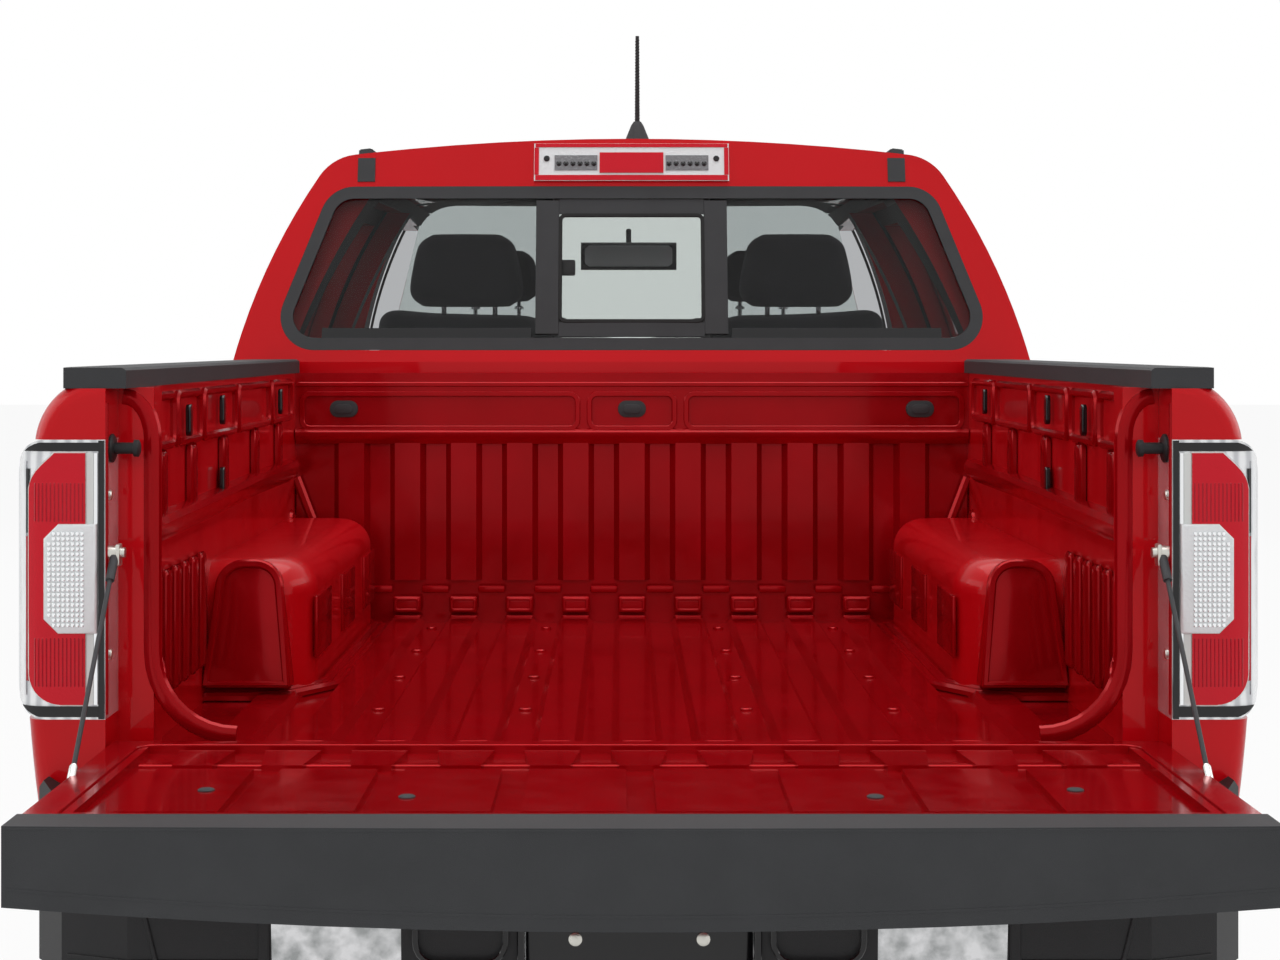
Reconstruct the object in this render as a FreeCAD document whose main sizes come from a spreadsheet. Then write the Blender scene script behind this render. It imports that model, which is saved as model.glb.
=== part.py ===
import FreeCAD, Part
import math
import os
import Sketcher
from FreeCAD import Placement, Rotation, Vector

# Pickup truck with a crew cab, an open bed and a tailgate that rests on two cables.
# Millimetres. +Y is forward, +X is the truck's right and +Z is up.
# The origin is on the ground, under the middle of the truck with its tailgate open.

# Driving dimensions
SIZES = {
    # along the truck, from the nose to the tail
    "front_overhang": 910,
    "axle_to_door": 609,
    "front_door_length": 1079,
    "rear_door_length": 890,
    "quarter_length": 108,
    "cab_to_rear_axle": 562,
    "rear_overhang": 1100,
    "bed_gap": 25,
    # body section
    "body_half_width": 915,
    "sill_height": 425,
    "rocker_height": 70,
    "sill_tuck": 30,
    "side_height": 860,
    "belt_tuck": 16,
    "greenhouse_height": 512,
    "roof_run": 211,
    "roof_rail_radius": 110,
    "roof_slope": 6.5,
    "side_glass_slope": 33,
    # panel thicknesses and gaps
    "panel_gap": 6,
    "door_thickness": 62,
    "side_wall": 118,
    "roof_wall": 45,
    "back_wall": 50,
    "screen_wall": 60,
    "glass_thickness": 5,
    "glass_inset": 14,
    "fit": 0.3,
    # windscreen and cab back
    "cowl_run": 125,
    "screen_base_drop": 150,
    "screen_run": 725,
    "screen_rise": 610,
    "screen_bow": 110,
    "back_lean": 0.235,
    "back_bow": 26,
    "ditch_inset": 303,
    # wheels
    "tyre_radius": 381.5,
    "tyre_width": 255,
    "rim_radius": 218,
    "rim_width": 200,
    "wheel_inset": 123,
    "arch_gap": 68,
    "hub_radius": 78,
    "disc_radius": 150,
    "kingpin_inset": 70,
    # frame
    "frame_inset": 352,
    "frame_depth": 150,
    "frame_flange": 70,
    "axle_tube_radius": 42,
    "diff_radius": 154,
    "axle_travel": 86.5,
    "frame_rear_depth": 130,
    "bed_sill_depth": 71,
    "cab_floor_rise": 120,
    "cab_floor_thickness": 20,
    "body_mount_height": 25,
    # bed
    "bed_floor_thickness": 12,
    "bed_ridge": 14,
    "ridge_pitch": 124,
    "ridge_width": 56,
    "bed_wall": 170,
    "slot_wall": 145,
    "opening_wall": 197.5,
    "slot_length": 78,
    "pillar_length": 55,
    "bed_front_wall": 40,
    "rail_above_belt": 6,
    "rail_cap_height": 30,
    "wheelhouse_width": 180,
    "wheelhouse_room": 116,
    "wheelhouse_wall": 10,
    "tail_taper": 38,
    "tail_tuck": 24,
    "taper_run": 380,
    # tailgate
    "gate_thickness": 62,
    "gate_side_gap": 7,
    "gate_rise": 24,
    "gate_top_drop": 39,
    "gate_below_hinge": 12,
    "hinge_inset": 20,
    "gate_cap_depth": 64,
    "gate_cap_bow": 13,
    "gate_lip_depth": 92,
    "gate_lip_bow": 26,
    # lamps and bumpers
    "lamp_height": 404,
    "lamp_top_drop": 98,
    "lamp_length": 190,
    "bumper_reach": 128,
    "bumper_height": 190,
    "plate_screw_pitch": 178,
    "plate_screw_radius": 3.5,
    "hood_drop": 85,
}


class Size:
    """A number together with the sheet formula that gives it."""

    def __init__(self, value, text):
        self.value = value
        self.text = text

    def __float__(self):
        return float(self.value)

    def __neg__(self):
        return Size(-self.value, f"(-{self.text})")

    def __add__(self, other):
        return Size(self.value + float(other), f"({self.text} + {formula(other)})")

    def __radd__(self, other):
        return Size(float(other) + self.value, f"({formula(other)} + {self.text})")

    def __sub__(self, other):
        return Size(self.value - float(other), f"({self.text} - {formula(other)})")

    def __rsub__(self, other):
        return Size(float(other) - self.value, f"({formula(other)} - {self.text})")

    def __mul__(self, other):
        return Size(self.value * float(other), f"({self.text} * {formula(other)})")

    def __rmul__(self, other):
        return Size(float(other) * self.value, f"({formula(other)} * {self.text})")

    def __truediv__(self, other):
        return Size(self.value / float(other), f"({self.text} / {formula(other)})")


def formula(item):
    """The sheet formula of a size, or the plain number as text."""
    if isinstance(item, Size):
        return item.text
    return repr(float(item))


doc = FreeCAD.newDocument("PickupTruck")
sheet = doc.addObject("Spreadsheet::Sheet", "Sizes")
for row, (name, number) in enumerate(SIZES.items(), start=1):
    sheet.set(f"A{row}", name)
    sheet.set(f"B{row}", str(number))
    sheet.setAlias(f"B{row}", name)
doc.recompute()


class Sheet:
    """Every driving dimension as a Size, read back from the sheet."""

    def __getattr__(self, name):
        return Size(float(sheet.get(name)), f"Sizes.{name}")


v = Sheet()

# Heights
z_axle = v.tyre_radius
z_sill = v.sill_height
z_belt = z_sill + v.side_height
z_roof = z_belt + v.greenhouse_height
z_rail = z_belt + v.rail_above_belt
z_cab_floor = z_sill + v.cab_floor_rise
z_frame_rear_bottom = z_axle + v.axle_tube_radius + v.axle_travel
z_frame_rear_top = z_frame_rear_bottom + v.frame_rear_depth
z_bed = z_frame_rear_top + v.bed_sill_depth + v.bed_floor_thickness
z_frame_top = z_cab_floor - v.cab_floor_thickness - v.body_mount_height
z_frame_bottom = z_frame_top - v.frame_depth
z_hood = z_belt - 125
z_screen_base = z_belt - v.screen_base_drop
z_screen_top = z_screen_base + v.screen_rise

# Half widths
x_wheel = v.body_half_width - v.wheel_inset
x_frame = x_wheel - v.frame_inset
x_slot = v.body_half_width - v.slot_wall
x_opening = v.body_half_width - v.opening_wall
x_bed = v.body_half_width - v.bed_wall
x_house = x_bed - v.wheelhouse_width
x_gate = x_slot - v.gate_side_gap
x_hood = v.body_half_width - 170
x_ditch = v.body_half_width - v.ditch_inset

# Stations along the truck
z_hinge = z_bed + v.gate_rise - (v.gate_thickness - v.hinge_inset + 3)
z_gate_top = z_rail - v.gate_top_drop
gate_reach = z_gate_top - z_hinge - v.hinge_inset + v.gate_cap_bow
doors_length = v.front_door_length + v.panel_gap + v.rear_door_length
wheelbase = v.axle_to_door + doors_length + v.quarter_length + v.cab_to_rear_axle
y_front = (v.front_overhang + wheelbase + v.rear_overhang + gate_reach) / 2
y_front_axle = y_front - v.front_overhang
y_door = y_front_axle - v.axle_to_door
y_pillar = y_door - v.front_door_length
y_rear_door = y_pillar - v.panel_gap
y_quarter = y_rear_door - v.rear_door_length
y_cab_back = y_quarter - v.quarter_length
y_rear_axle = y_cab_back - v.cab_to_rear_axle
y_tail = y_rear_axle - v.rear_overhang
y_bed_front = y_cab_back - v.bed_gap
y_bulkhead = y_bed_front - v.bed_front_wall
y_hinge = y_tail + v.hinge_inset
y_floor_end = y_tail + v.slot_length
y_cowl = y_door + v.cowl_run
y_gate_tip = y_tail - gate_reach
arch_radius = v.tyre_radius + v.arch_gap

FAR = 4000
parts = {}


def keep(label, item):
    """Name a finished sub-part."""
    item.Label = label
    parts[label] = item
    return item


def bind(item, prop, size):
    """Tie one property of an object to the sheet."""
    item.setExpression(prop, formula(size))


# Sketches and features


def origin_plane(body, role):
    return next(f for f in body.Origin.OriginFeatures if f.Role == role)


def arc_between(start, end, radius):
    """Arc from start to end with its centre on the left, or on the right of a negative radius."""
    chord = end - start
    rise = math.sqrt(max(radius**2 - chord.Length**2 / 4, 0))
    left = Vector(-chord.y, chord.x, 0).normalize()
    centre = (start + end) / 2 + left * math.copysign(rise, radius)
    ends = [math.atan2(p.y - centre.y, p.x - centre.x) for p in (start, end)]
    if radius < 0:
        ends.reverse()
    circle = Part.Circle(centre, Vector(0, 0, 1), abs(radius))
    return Part.ArcOfCircle(circle, ends[0], ends[1])


def draw(body, role, corners, offset):
    """Closed sketch through corners (across, up) or (across, up, radius of the arc to the next)."""
    sketch = body.newObject("Sketcher::SketchObject", "Profile")
    sketch.AttachmentSupport = (origin_plane(body, role), [""])
    sketch.MapMode = "FlatFace"
    bind(sketch, "AttachmentOffset.Base.z", offset)
    points = [Vector(c[0], c[1], 0) for c in corners]
    count = len(corners)
    for index, corner in enumerate(corners):
        start, end = points[index], points[(index + 1) % count]
        if len(corner) > 2:
            sketch.addGeometry(arc_between(start, end, float(corner[2])), False)
        else:
            sketch.addGeometry(Part.LineSegment(start, end), False)
    first = []
    for index, point in enumerate(points):
        first.append(1 if (sketch.getPoint(index, 1) - point).Length < 1e-4 else 2)
    for index in range(count):
        after = (index + 1) % count
        sketch.addConstraint(
            Sketcher.Constraint("Coincident", index, 3 - first[index], after, first[after])
        )
    for index, corner in enumerate(corners):
        place = points[index]
        for kind, size, number in (("DistanceX", corner[0], place.x), ("DistanceY", corner[1], place.y)):
            rule = Sketcher.Constraint(kind, -1, 1, index, first[index], number)
            bind(sketch, f"Constraints[{sketch.addConstraint(rule)}]", size)
        if len(corner) > 2:
            size = corner[2] if float(corner[2]) > 0 else 0 - corner[2]
            rule = Sketcher.Constraint("Radius", index, float(size))
            bind(sketch, f"Constraints[{sketch.addConstraint(rule)}]", size)
    return sketch


def new_body(name):
    return doc.addObject("PartDesign::Body", name)


def pad(body, role, corners, start, length):
    """Extrude an outline from start along the positive axis that the plane faces."""
    flipped = role == "XZ_Plane"
    sketch = draw(body, role, corners, 0 - start if flipped else start)
    feature = body.newObject("PartDesign::Pad", "Pad")
    feature.Profile = sketch
    feature.Reversed = flipped
    bind(feature, "Length", length)
    return feature


def pocket(body, role, corners, start, length):
    """Cut an outline from start along the positive axis that the plane faces."""
    flipped = role == "XZ_Plane"
    sketch = draw(body, role, corners, 0 - start if flipped else start)
    feature = body.newObject("PartDesign::Pocket", "Pocket")
    feature.Profile = sketch
    feature.Reversed = not flipped
    bind(feature, "Length", length)
    return feature


def revolve(body, role, corners, axis="H_Axis"):
    sketch = draw(body, role, corners, 0)
    feature = body.newObject("PartDesign::Revolution", "Revolution")
    feature.Profile = sketch
    feature.ReferenceAxis = (sketch, [axis])
    feature.Angle = 360
    return feature


def polar(body, feature, axis_role, count):
    pattern = body.newObject("PartDesign::PolarPattern", "PolarPattern")
    pattern.Originals = [feature]
    pattern.Axis = (origin_plane(body, axis_role), [""])
    pattern.Angle = 360
    pattern.Occurrences = count
    body.Tip = pattern
    return pattern


def mirrored(body, features, role="YZ_Plane"):
    pattern = body.newObject("PartDesign::Mirrored", "Mirrored")
    pattern.Originals = features
    pattern.MirrorPlane = (origin_plane(body, role), [""])
    body.Tip = pattern
    return pattern


def box_corners(x0, x1, y0, y1):
    return [(x0, y0), (x1, y0), (x1, y1), (x0, y1)]


def circle_corners(x, y, radius):
    return [(x + radius, y, radius), (x, y + radius, radius), (x - radius, y, radius), (x, y - radius, radius)]


def move(item, x=0, y=0, z=0):
    for axis, size in (("x", x), ("y", y), ("z", z)):
        bind(item, f"Placement.Base.{axis}", size)


def pair(label, item):
    """One sub-part of an item and its mirror image on the other side of the truck."""
    other = doc.addObject("Part::Mirroring", item.Name + "Mirror")
    other.Source = item
    other.Normal = Vector(1, 0, 0)
    both = doc.addObject("Part::Compound", item.Name + "Pair")
    both.Links = [item, other]
    return keep(label, both)


def solid_feature(label, shape):
    item = doc.addObject("Part::Feature", label)
    place = shape.Placement
    item.Shape = shape
    item.Placement = place
    return keep(label, item)


# Shapes for the curved panels


def block(x0, x1, y0, y1, z0, z1):
    x0, x1, y0, y1, z0, z1 = (float(n) for n in (x0, x1, y0, y1, z0, z1))
    return Part.makeBox(x1 - x0, y1 - y0, z1 - z0, Vector(x0, y0, z0))


def face_of(points, along):
    """Flat face through points (a, b), seen along X (y, z), Y (x, z) or Z (x, y)."""
    place = {
        "x": lambda a, b: Vector(0, a, b),
        "y": lambda a, b: Vector(a, 0, b),
        "z": lambda a, b: Vector(a, b, 0),
    }[along]
    spots = [place(float(a), float(b)) for a, b in points]
    return Part.Face(Part.makePolygon(spots + spots[:1]))


def prism(points, along, start, end):
    """Outline pushed along one axis from start to end."""
    axis = {"x": Vector(1, 0, 0), "y": Vector(0, 1, 0), "z": Vector(0, 0, 1)}[along]
    shape = face_of(points, along)
    shape.translate(axis * float(start))
    return shape.extrude(axis * (float(end) - float(start)))


def rounded_prism(points, along, start, end, radius):
    """Prism whose lengthwise edges are rounded."""
    shape = prism(points, along, start, end)
    index = "xyz".index(along)
    edges = []
    for edge in shape.Edges:
        run = edge.Vertexes[-1].Point - edge.Vertexes[0].Point
        if abs(abs(run[index]) - run.Length) < 1e-6:
            edges.append(edge)
    return shape.makeFillet(float(radius), edges)


def tube(points, radius):
    """Round bar or pipe through points, with ball corners."""
    spots = [Vector(*p) for p in points]
    shape = None
    for start, end in zip(spots, spots[1:]):
        piece = Part.makeCylinder(float(radius), (end - start).Length, start, end - start)
        shape = piece if shape is None else shape.fuse(piece)
    for spot in spots[1:-1]:
        shape = shape.fuse(Part.makeSphere(float(radius), spot))
    return shape.removeSplitter()


def mirror_x(shape):
    return shape.mirror(Vector(0, 0, 0), Vector(1, 0, 0))


def both_sides(shape):
    return Part.Compound([shape, mirror_x(shape)])


def arc_edge(a, b, c):
    return Part.Arc(a, b, c).toShape()


def line_edge(a, b):
    return Part.LineSegment(a, b).toShape()


def arc_onward(before, end):
    """Arc to a point that carries on smoothly from the end of the edge before it."""
    start = before.Vertexes[-1].Point
    heading = before.tangentAt(before.LastParameter)
    chord = end - start
    across = (heading - chord * (heading.dot(chord) / chord.Length**2)).normalize()
    height = chord.Length / 2 * math.tan(heading.getAngle(chord) / 2)
    return arc_edge(start, (start + end) / 2 + across * height, end)


def cab_section(side_inset=0, top_inset=0):
    """Cross section of the cab: bellied sides, leaning glass, rounded rails and a crowned roof."""
    half = float(v.body_half_width - side_inset)
    belt_x = half - float(v.belt_tuck)
    sill, belt, roof = float(z_sill), float(z_belt), float(z_roof - top_inset)
    low = sill - 300
    lean = math.radians(float(v.side_glass_slope))
    slope = math.radians(float(v.roof_slope))
    radius = float(v.roof_rail_radius)
    reach = radius * math.tan((math.pi / 2 - lean - slope) / 2)
    corner_x = belt_x - float(v.roof_run)
    rail_x = corner_x - reach * math.cos(slope)
    rail_z = roof - rail_x * math.tan(slope / 2)
    corner_z = rail_z - reach * math.sin(slope)
    glass_top = Vector(corner_x + reach * math.sin(lean), 0, corner_z - reach * math.cos(lean))
    belt_point = Vector(belt_x, 0, belt)
    chord = glass_top - belt_point
    bend = lean - math.atan2(belt_x - glass_top.x, glass_top.z - belt)
    outward = Vector(chord.z, 0, -chord.x).normalize()
    glass_middle = (belt_point + glass_top) / 2 + outward * (chord.Length / 2 * math.tan(bend / 2))
    along_glass = Vector(math.sin(lean), 0, -math.cos(lean))
    along_roof = Vector(-math.cos(slope), 0, math.sin(slope))
    half_turn = (math.pi / 2 - lean - slope) / 2
    rail_middle = Vector(corner_x, 0, corner_z) + (along_glass + along_roof).normalize() * (
        radius / math.cos(half_turn) - radius
    )
    rail_end = Vector(rail_x, 0, rail_z)
    belly = Vector(half, 0, sill + 0.45 * (belt - sill))
    foot = Vector(half - float(v.sill_tuck), 0, sill)
    floor = Vector(foot.x, 0, low)
    edges = []
    for sign in (1, -1):
        flip = FreeCAD.Matrix()
        flip.scale(sign, 1, 1)
        foot_s, belly_s, belt_s, middle_s, top_s, rail_s, end_s, floor_s = (
            flip.multVec(p)
            for p in (foot, belly, belt_point, glass_middle, glass_top, rail_middle, rail_end, floor)
        )
        edges.append(line_edge(floor_s, foot_s))
        edges.append(arc_edge(foot_s, belly_s, belt_s))
        edges.append(arc_edge(belt_s, middle_s, top_s))
        edges.append(arc_edge(top_s, rail_s, end_s))
    edges.append(arc_edge(rail_end, Vector(0, 0, roof), Vector(-rail_x, 0, rail_z)))
    edges.append(line_edge(floor, Vector(-floor.x, 0, low)))
    return Part.Face(Part.Wire(Part.__sortEdges__(edges)))


OUTER = cab_section()


def band_face(inset):
    """The cab section drawn in by the same thickness all round."""
    return OUTER if float(inset) == 0 else OUTER.makeOffset2D(-float(inset))


def run_along_y(face, start, end):
    face = face.copy()
    face.translate(Vector(0, float(start), 0))
    return face.extrude(Vector(0, float(end) - float(start), 0))


def skin_x(height, inset=0):
    """Half width of the cab section at one height."""
    line = line_edge(Vector(0, 0, height), Vector(FAR, 0, height))
    return band_face(inset).common(line).BoundBox.XMax


def bowed_front(inset=0):
    """All that lies behind the windscreen's surface, which is bowed in plan and leans back."""
    run, rise = float(v.screen_run), float(v.screen_rise)
    shift = float(inset) * math.hypot(run, rise) / rise
    depth = float(z_screen_base - z_sill) + 320
    base = float(z_screen_base) - depth
    drop = depth * run / rise
    middle = float(y_cowl) + drop - shift
    wide = float(v.body_half_width)
    side = middle - float(v.screen_bow)
    start = Vector(-wide, side, base)
    end = Vector(wide, side, base)
    arc = arc_edge(start, Vector(0, middle, base), end)
    back = [Vector(wide, side - FAR, base), Vector(-wide, side - FAR, base)]
    edges = [arc, line_edge(end, back[0]), line_edge(back[0], back[1]), line_edge(back[1], start)]
    face = Part.Face(Part.Wire(Part.__sortEdges__(edges)))
    return face.extrude(Vector(0, -run, rise) * 3.4)


def bowed_back(inset=0):
    """All that lies ahead of the cab's back, upright below the belt and leaning forward above."""
    wide = float(v.body_half_width) + 1
    near = float(y_cab_back) + float(inset)
    side = near + float(v.back_bow)
    low, belt = float(z_sill) - 400, float(z_belt)
    start = Vector(-wide, side, 0)
    end = Vector(wide, side, 0)
    arc = arc_edge(start, Vector(0, near, 0), end)
    ahead = [Vector(wide, side + FAR, 0), Vector(-wide, side + FAR, 0)]
    edges = [arc, line_edge(end, ahead[0]), line_edge(ahead[0], ahead[1]), line_edge(ahead[1], start)]
    face = Part.Face(Part.Wire(Part.__sortEdges__(edges)))
    lower = face.copy()
    lower.translate(Vector(0, 0, low))
    lower = lower.extrude(Vector(0, 0, belt - low))
    upper = face.copy()
    upper.translate(Vector(0, 0, belt))
    upper = upper.extrude(Vector(0, float(v.back_lean), 1) * 900)
    return lower.fuse(upper)


def hull(face, front_inset=0, back_inset=0):
    """The cab's outer block, or a smaller one inside it."""
    block_y = run_along_y(face, y_cab_back - 100, y_cowl + 600)
    return block_y.common(bowed_front(front_inset)).common(bowed_back(back_inset))


# Cab shell, doors and glass


def door_outline(front):
    """Door edge seen from the side, as points (y, z)."""
    low = z_sill + v.rocker_height
    if front:
        top_y = y_cowl - v.screen_run + 75
        return [
            (y_door, low),
            (y_door, z_belt - 120),
            (y_cowl - 262, z_belt + 48),
            (top_y, z_belt + 405),
            (y_pillar, z_belt + 425),
            (y_pillar, low),
        ]
    return [
        (y_rear_door, low),
        (y_rear_door, z_belt + 425),
        (y_quarter + 190, z_belt + 412),
        (y_quarter + 18, z_belt + 40),
        (y_quarter, z_belt - 160),
        (y_quarter, low),
    ]


def window_outline(front):
    """Window opening of a door seen from the side, as points (y, z)."""
    low = z_belt - 92
    high = z_belt + 352
    if front:
        return [
            (y_door - 205, low + 4),
            (y_cowl - v.screen_run + 12, high - 6),
            (y_pillar + 62, high + 6),
            (y_pillar + 62, low),
        ]
    return [
        (y_rear_door - 58, low),
        (y_rear_door - 58, high + 6),
        (y_quarter + 205, high - 8),
        (y_quarter + 92, low + 6),
    ]


def grown(points, distance, along, start, end):
    """Prism of an outline grown, or shrunk, by a distance all round."""
    face = face_of(points, along)
    if distance:
        face = face.makeOffset2D(float(distance), 2)
    axis = {"x": Vector(1, 0, 0), "y": Vector(0, 1, 0), "z": Vector(0, 0, 1)}[along]
    face.translate(axis * float(start))
    return face.extrude(axis * (float(end) - float(start)))


def side_prism(points, distance=0):
    return grown(points, distance, "x", 0, FAR)


def shut_face_cut(front, slope):
    """What is cut off a door's trailing edge, so that its inner corner swings clear."""
    levels = [z_sill - 40, z_sill + 250, z_belt - 160, z_belt, z_belt + 220, z_belt + 430]
    edge_back = y_pillar if front else y_quarter
    lean = (0, 0, 0, 0, 0, 0) if front else (0, 0, 0, 14.4, 101.2, 198.3)
    deep = 330
    wires = []
    for level, ahead in zip(levels, lean):
        skin = skin_x(min(float(level), float(z_belt + 425)))
        edge = float(edge_back) + ahead
        corners = [
            Vector(skin + 10, edge - 10 * slope, level),
            Vector(skin + 10, edge - 90, level),
            Vector(skin - deep, edge - 90, level),
            Vector(skin - deep, edge + deep * slope, level),
        ]
        wires.append(Part.makePolygon(corners + corners[:1]))
    return Part.makeLoft(wires, True, True)


def make_door(front, frame_hull):
    outline = door_outline(front)
    skin = run_along_y(band_face(0), y_cab_back, y_cowl + 100)
    inner = run_along_y(band_face(v.door_thickness), y_cab_back - 10, y_cowl + 110)
    shape = skin.cut(inner).common(side_prism(outline)).common(frame_hull)
    shape = shape.cut(side_prism(window_outline(front)))
    return shape.cut(shut_face_cut(front, 0.42))


def make_door_glass(front):
    outline = window_outline(front)
    outer = run_along_y(band_face(v.glass_inset), y_cab_back, y_cowl + 100)
    inner = run_along_y(band_face(v.glass_inset + v.glass_thickness), y_cab_back - 10, y_cowl + 110)
    return outer.cut(inner).common(side_prism(outline, -v.fit))


def screen_opening(distance=0):
    """Windscreen opening seen from the front."""
    low_x = skin_x(z_screen_base) - 95
    high_x = float(x_ditch) - 12
    low, high = z_screen_base + 12, z_screen_top - 12
    corners = [(-low_x, low), (low_x, low), (high_x, high), (-high_x, high)]
    return grown(corners, distance, "y", y_cowl - v.screen_run - 120, y_cowl + 700)


def back_opening(distance=0):
    """Rear window opening seen from behind."""
    low_x, high_x = v.body_half_width - 86, v.body_half_width - 226
    low, high = z_belt + 26, z_belt + 401
    corners = [(-low_x, low), (low_x, low), (high_x, high), (-high_x, high)]
    opening = grown(corners, distance, "y", y_cab_back - 200, y_cab_back + 420)
    lengthwise = [e for e in opening.Edges if e.BoundBox.YLength > 400]
    return opening.makeFillet(78 + float(distance), lengthwise)


def make_cab():
    outer = hull(OUTER)
    outer_inside_back = hull(OUTER, 0, v.back_wall)
    hollow = hull(cab_section(v.side_wall, v.roof_wall), v.screen_wall, v.back_wall)
    under = block(-FAR, FAR, -FAR, FAR, -FAR, z_sill)
    engine_bay = block(-FAR, FAR, y_cowl - 25, FAR, -FAR, z_screen_base)
    shell = outer_inside_back.cut(hollow).cut(under).cut(engine_bay).cut(screen_opening())
    ditch = float(x_ditch)
    middle = block(-ditch, ditch, -FAR, FAR, z_belt - 30, FAR)
    low_middle = run_along_y(cab_section(v.side_wall, v.roof_wall), y_cowl - 700, y_cowl + 700).common(
        block(-FAR, FAR, -FAR, FAR, -FAR, z_screen_base + 12)
    )

    back = outer.cut(outer_inside_back).cut(under).cut(back_opening())
    inside = v.body_half_width - v.side_wall - v.sill_tuck
    back = back.cut(block(0 - inside, inside, -FAR, FAR, -FAR, z_cab_floor - v.cab_floor_thickness))
    solid_feature("cab_back", back)

    half = shell.common(block(0, FAR, -FAR, FAR, -FAR, FAR)).cut(low_middle)
    recess = run_along_y(OUTER, y_cab_back - 50, y_cowl + 400).cut(
        run_along_y(band_face(v.door_thickness + v.panel_gap), y_cab_back - 60, y_cowl + 410)
    )
    for front in (True, False):
        outline = door_outline(front)
        half = half.cut(recess.common(side_prism(outline, v.panel_gap)))
        half = half.cut(side_prism(outline, -30))
    half = half.cut(recess.common(block(0, FAR, y_door - 1, FAR, -FAR, z_hood + 30)))

    roof = largest(half.common(middle))
    solid_feature("cab_roof", roof.fuse(mirror_x(roof)).removeSplitter())
    solid_feature("cab_sides", both_sides(largest(half.cut(middle))))

    door_hull = outer_inside_back
    sides = (("right", 1), ("left", -1))
    for name, front in (("front", True), ("rear", False)):
        door = largest(make_door(front, door_hull))
        glass = make_door_glass(front)
        for side, sign in sides:
            solid_feature(f"{name}_door_{side}", door if sign > 0 else mirror_x(door))
            solid_feature(f"{name}_door_glass_{side}", glass if sign > 0 else mirror_x(glass))

    screen = outer.cut(hull(OUTER, v.glass_thickness, 0)).common(screen_opening(-v.fit))
    solid_feature("windscreen", screen)
    make_door_seals()
    make_rear_window(outer)
    make_cab_floor(hollow)


def make_door_seals():
    """Rubber loops on the openings' flanges, which the closed doors lie on."""
    ring = run_along_y(band_face(v.door_thickness + v.fit), y_cab_back, y_cowl + 100).cut(
        run_along_y(band_face(v.door_thickness + v.panel_gap), y_cab_back - 10, y_cowl + 110)
    )
    seals = []
    for front in (True, False):
        outline = door_outline(front)
        seal = ring.common(side_prism(outline, -14)).cut(side_prism(outline, -26))
        seals += [seal, mirror_x(seal)]
    solid_feature("door_seals", Part.Compound(seals))


def largest(shape):
    """The biggest solid of a cut, without the crumbs beside it."""
    return max(shape.Solids, key=lambda s: s.Volume)


def make_rear_window(outer):
    moulding = 28
    trim = outer.cut(hull(OUTER, 0, 16)).common(back_opening(-v.fit)).cut(back_opening(-moulding))
    solid_feature("rear_window_frame", trim)
    pane = hull(OUTER, 0, 7).cut(hull(OUTER, 0, v.glass_thickness + 7)).common(
        back_opening(-moulding - v.fit)
    )
    half = 176
    gap = 4
    panes = []
    for x0, x1 in ((-FAR, -half - gap), (-half, half), (half + gap, FAR)):
        panes += pane.common(block(x0, x1, -FAR, FAR, -FAR, FAR)).Solids
    solid_feature("rear_glass", Part.Compound(panes))


def make_cab_floor(hollow):
    """Floor, toe board and firewall as one pressing, with a tunnel over the gearbox."""
    thick = v.cab_floor_thickness
    y_wall = y_cowl - 45
    y_toe = y_wall - 260
    z_top = z_screen_base - 8
    side_view = [
        (y_cab_back - 20, z_cab_floor - thick),
        (y_toe, z_cab_floor - thick),
        (y_wall + 20, z_cab_floor + 230),
        (y_wall + 20, z_top),
        (y_wall, z_top),
        (y_wall, z_cab_floor + 238),
        (y_toe - 8, z_cab_floor),
        (y_cab_back - 20, z_cab_floor),
    ]
    inner = run_along_y(cab_section(v.side_wall, v.roof_wall), y_cab_back - 60, y_wall + 20)
    floor = prism(side_view, "x", -FAR, FAR).common(inner).common(bowed_back(v.back_wall))
    tunnel = [
        (-170, z_cab_floor - 10), (-120, z_cab_floor + 120), (120, z_cab_floor + 120), (170, z_cab_floor - 10),
    ]
    duct = [
        (-150, z_cab_floor - 40), (-104, z_cab_floor + 104), (104, z_cab_floor + 104), (150, z_cab_floor - 40),
    ]
    ridge = prism(tunnel, "y", y_rear_door, y_wall).cut(prism(duct, "y", y_rear_door - 1, y_wall + 40))
    floor = floor.cut(prism(duct, "y", y_rear_door + 20, y_wall + 40)).fuse(ridge)
    hood_skin = nose_block().cut(nose_block(38 + v.fit))
    floor = floor.removeSplitter().cut(hood_skin)
    solid_feature("cab_floor", largest(floor))


# Front end


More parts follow.
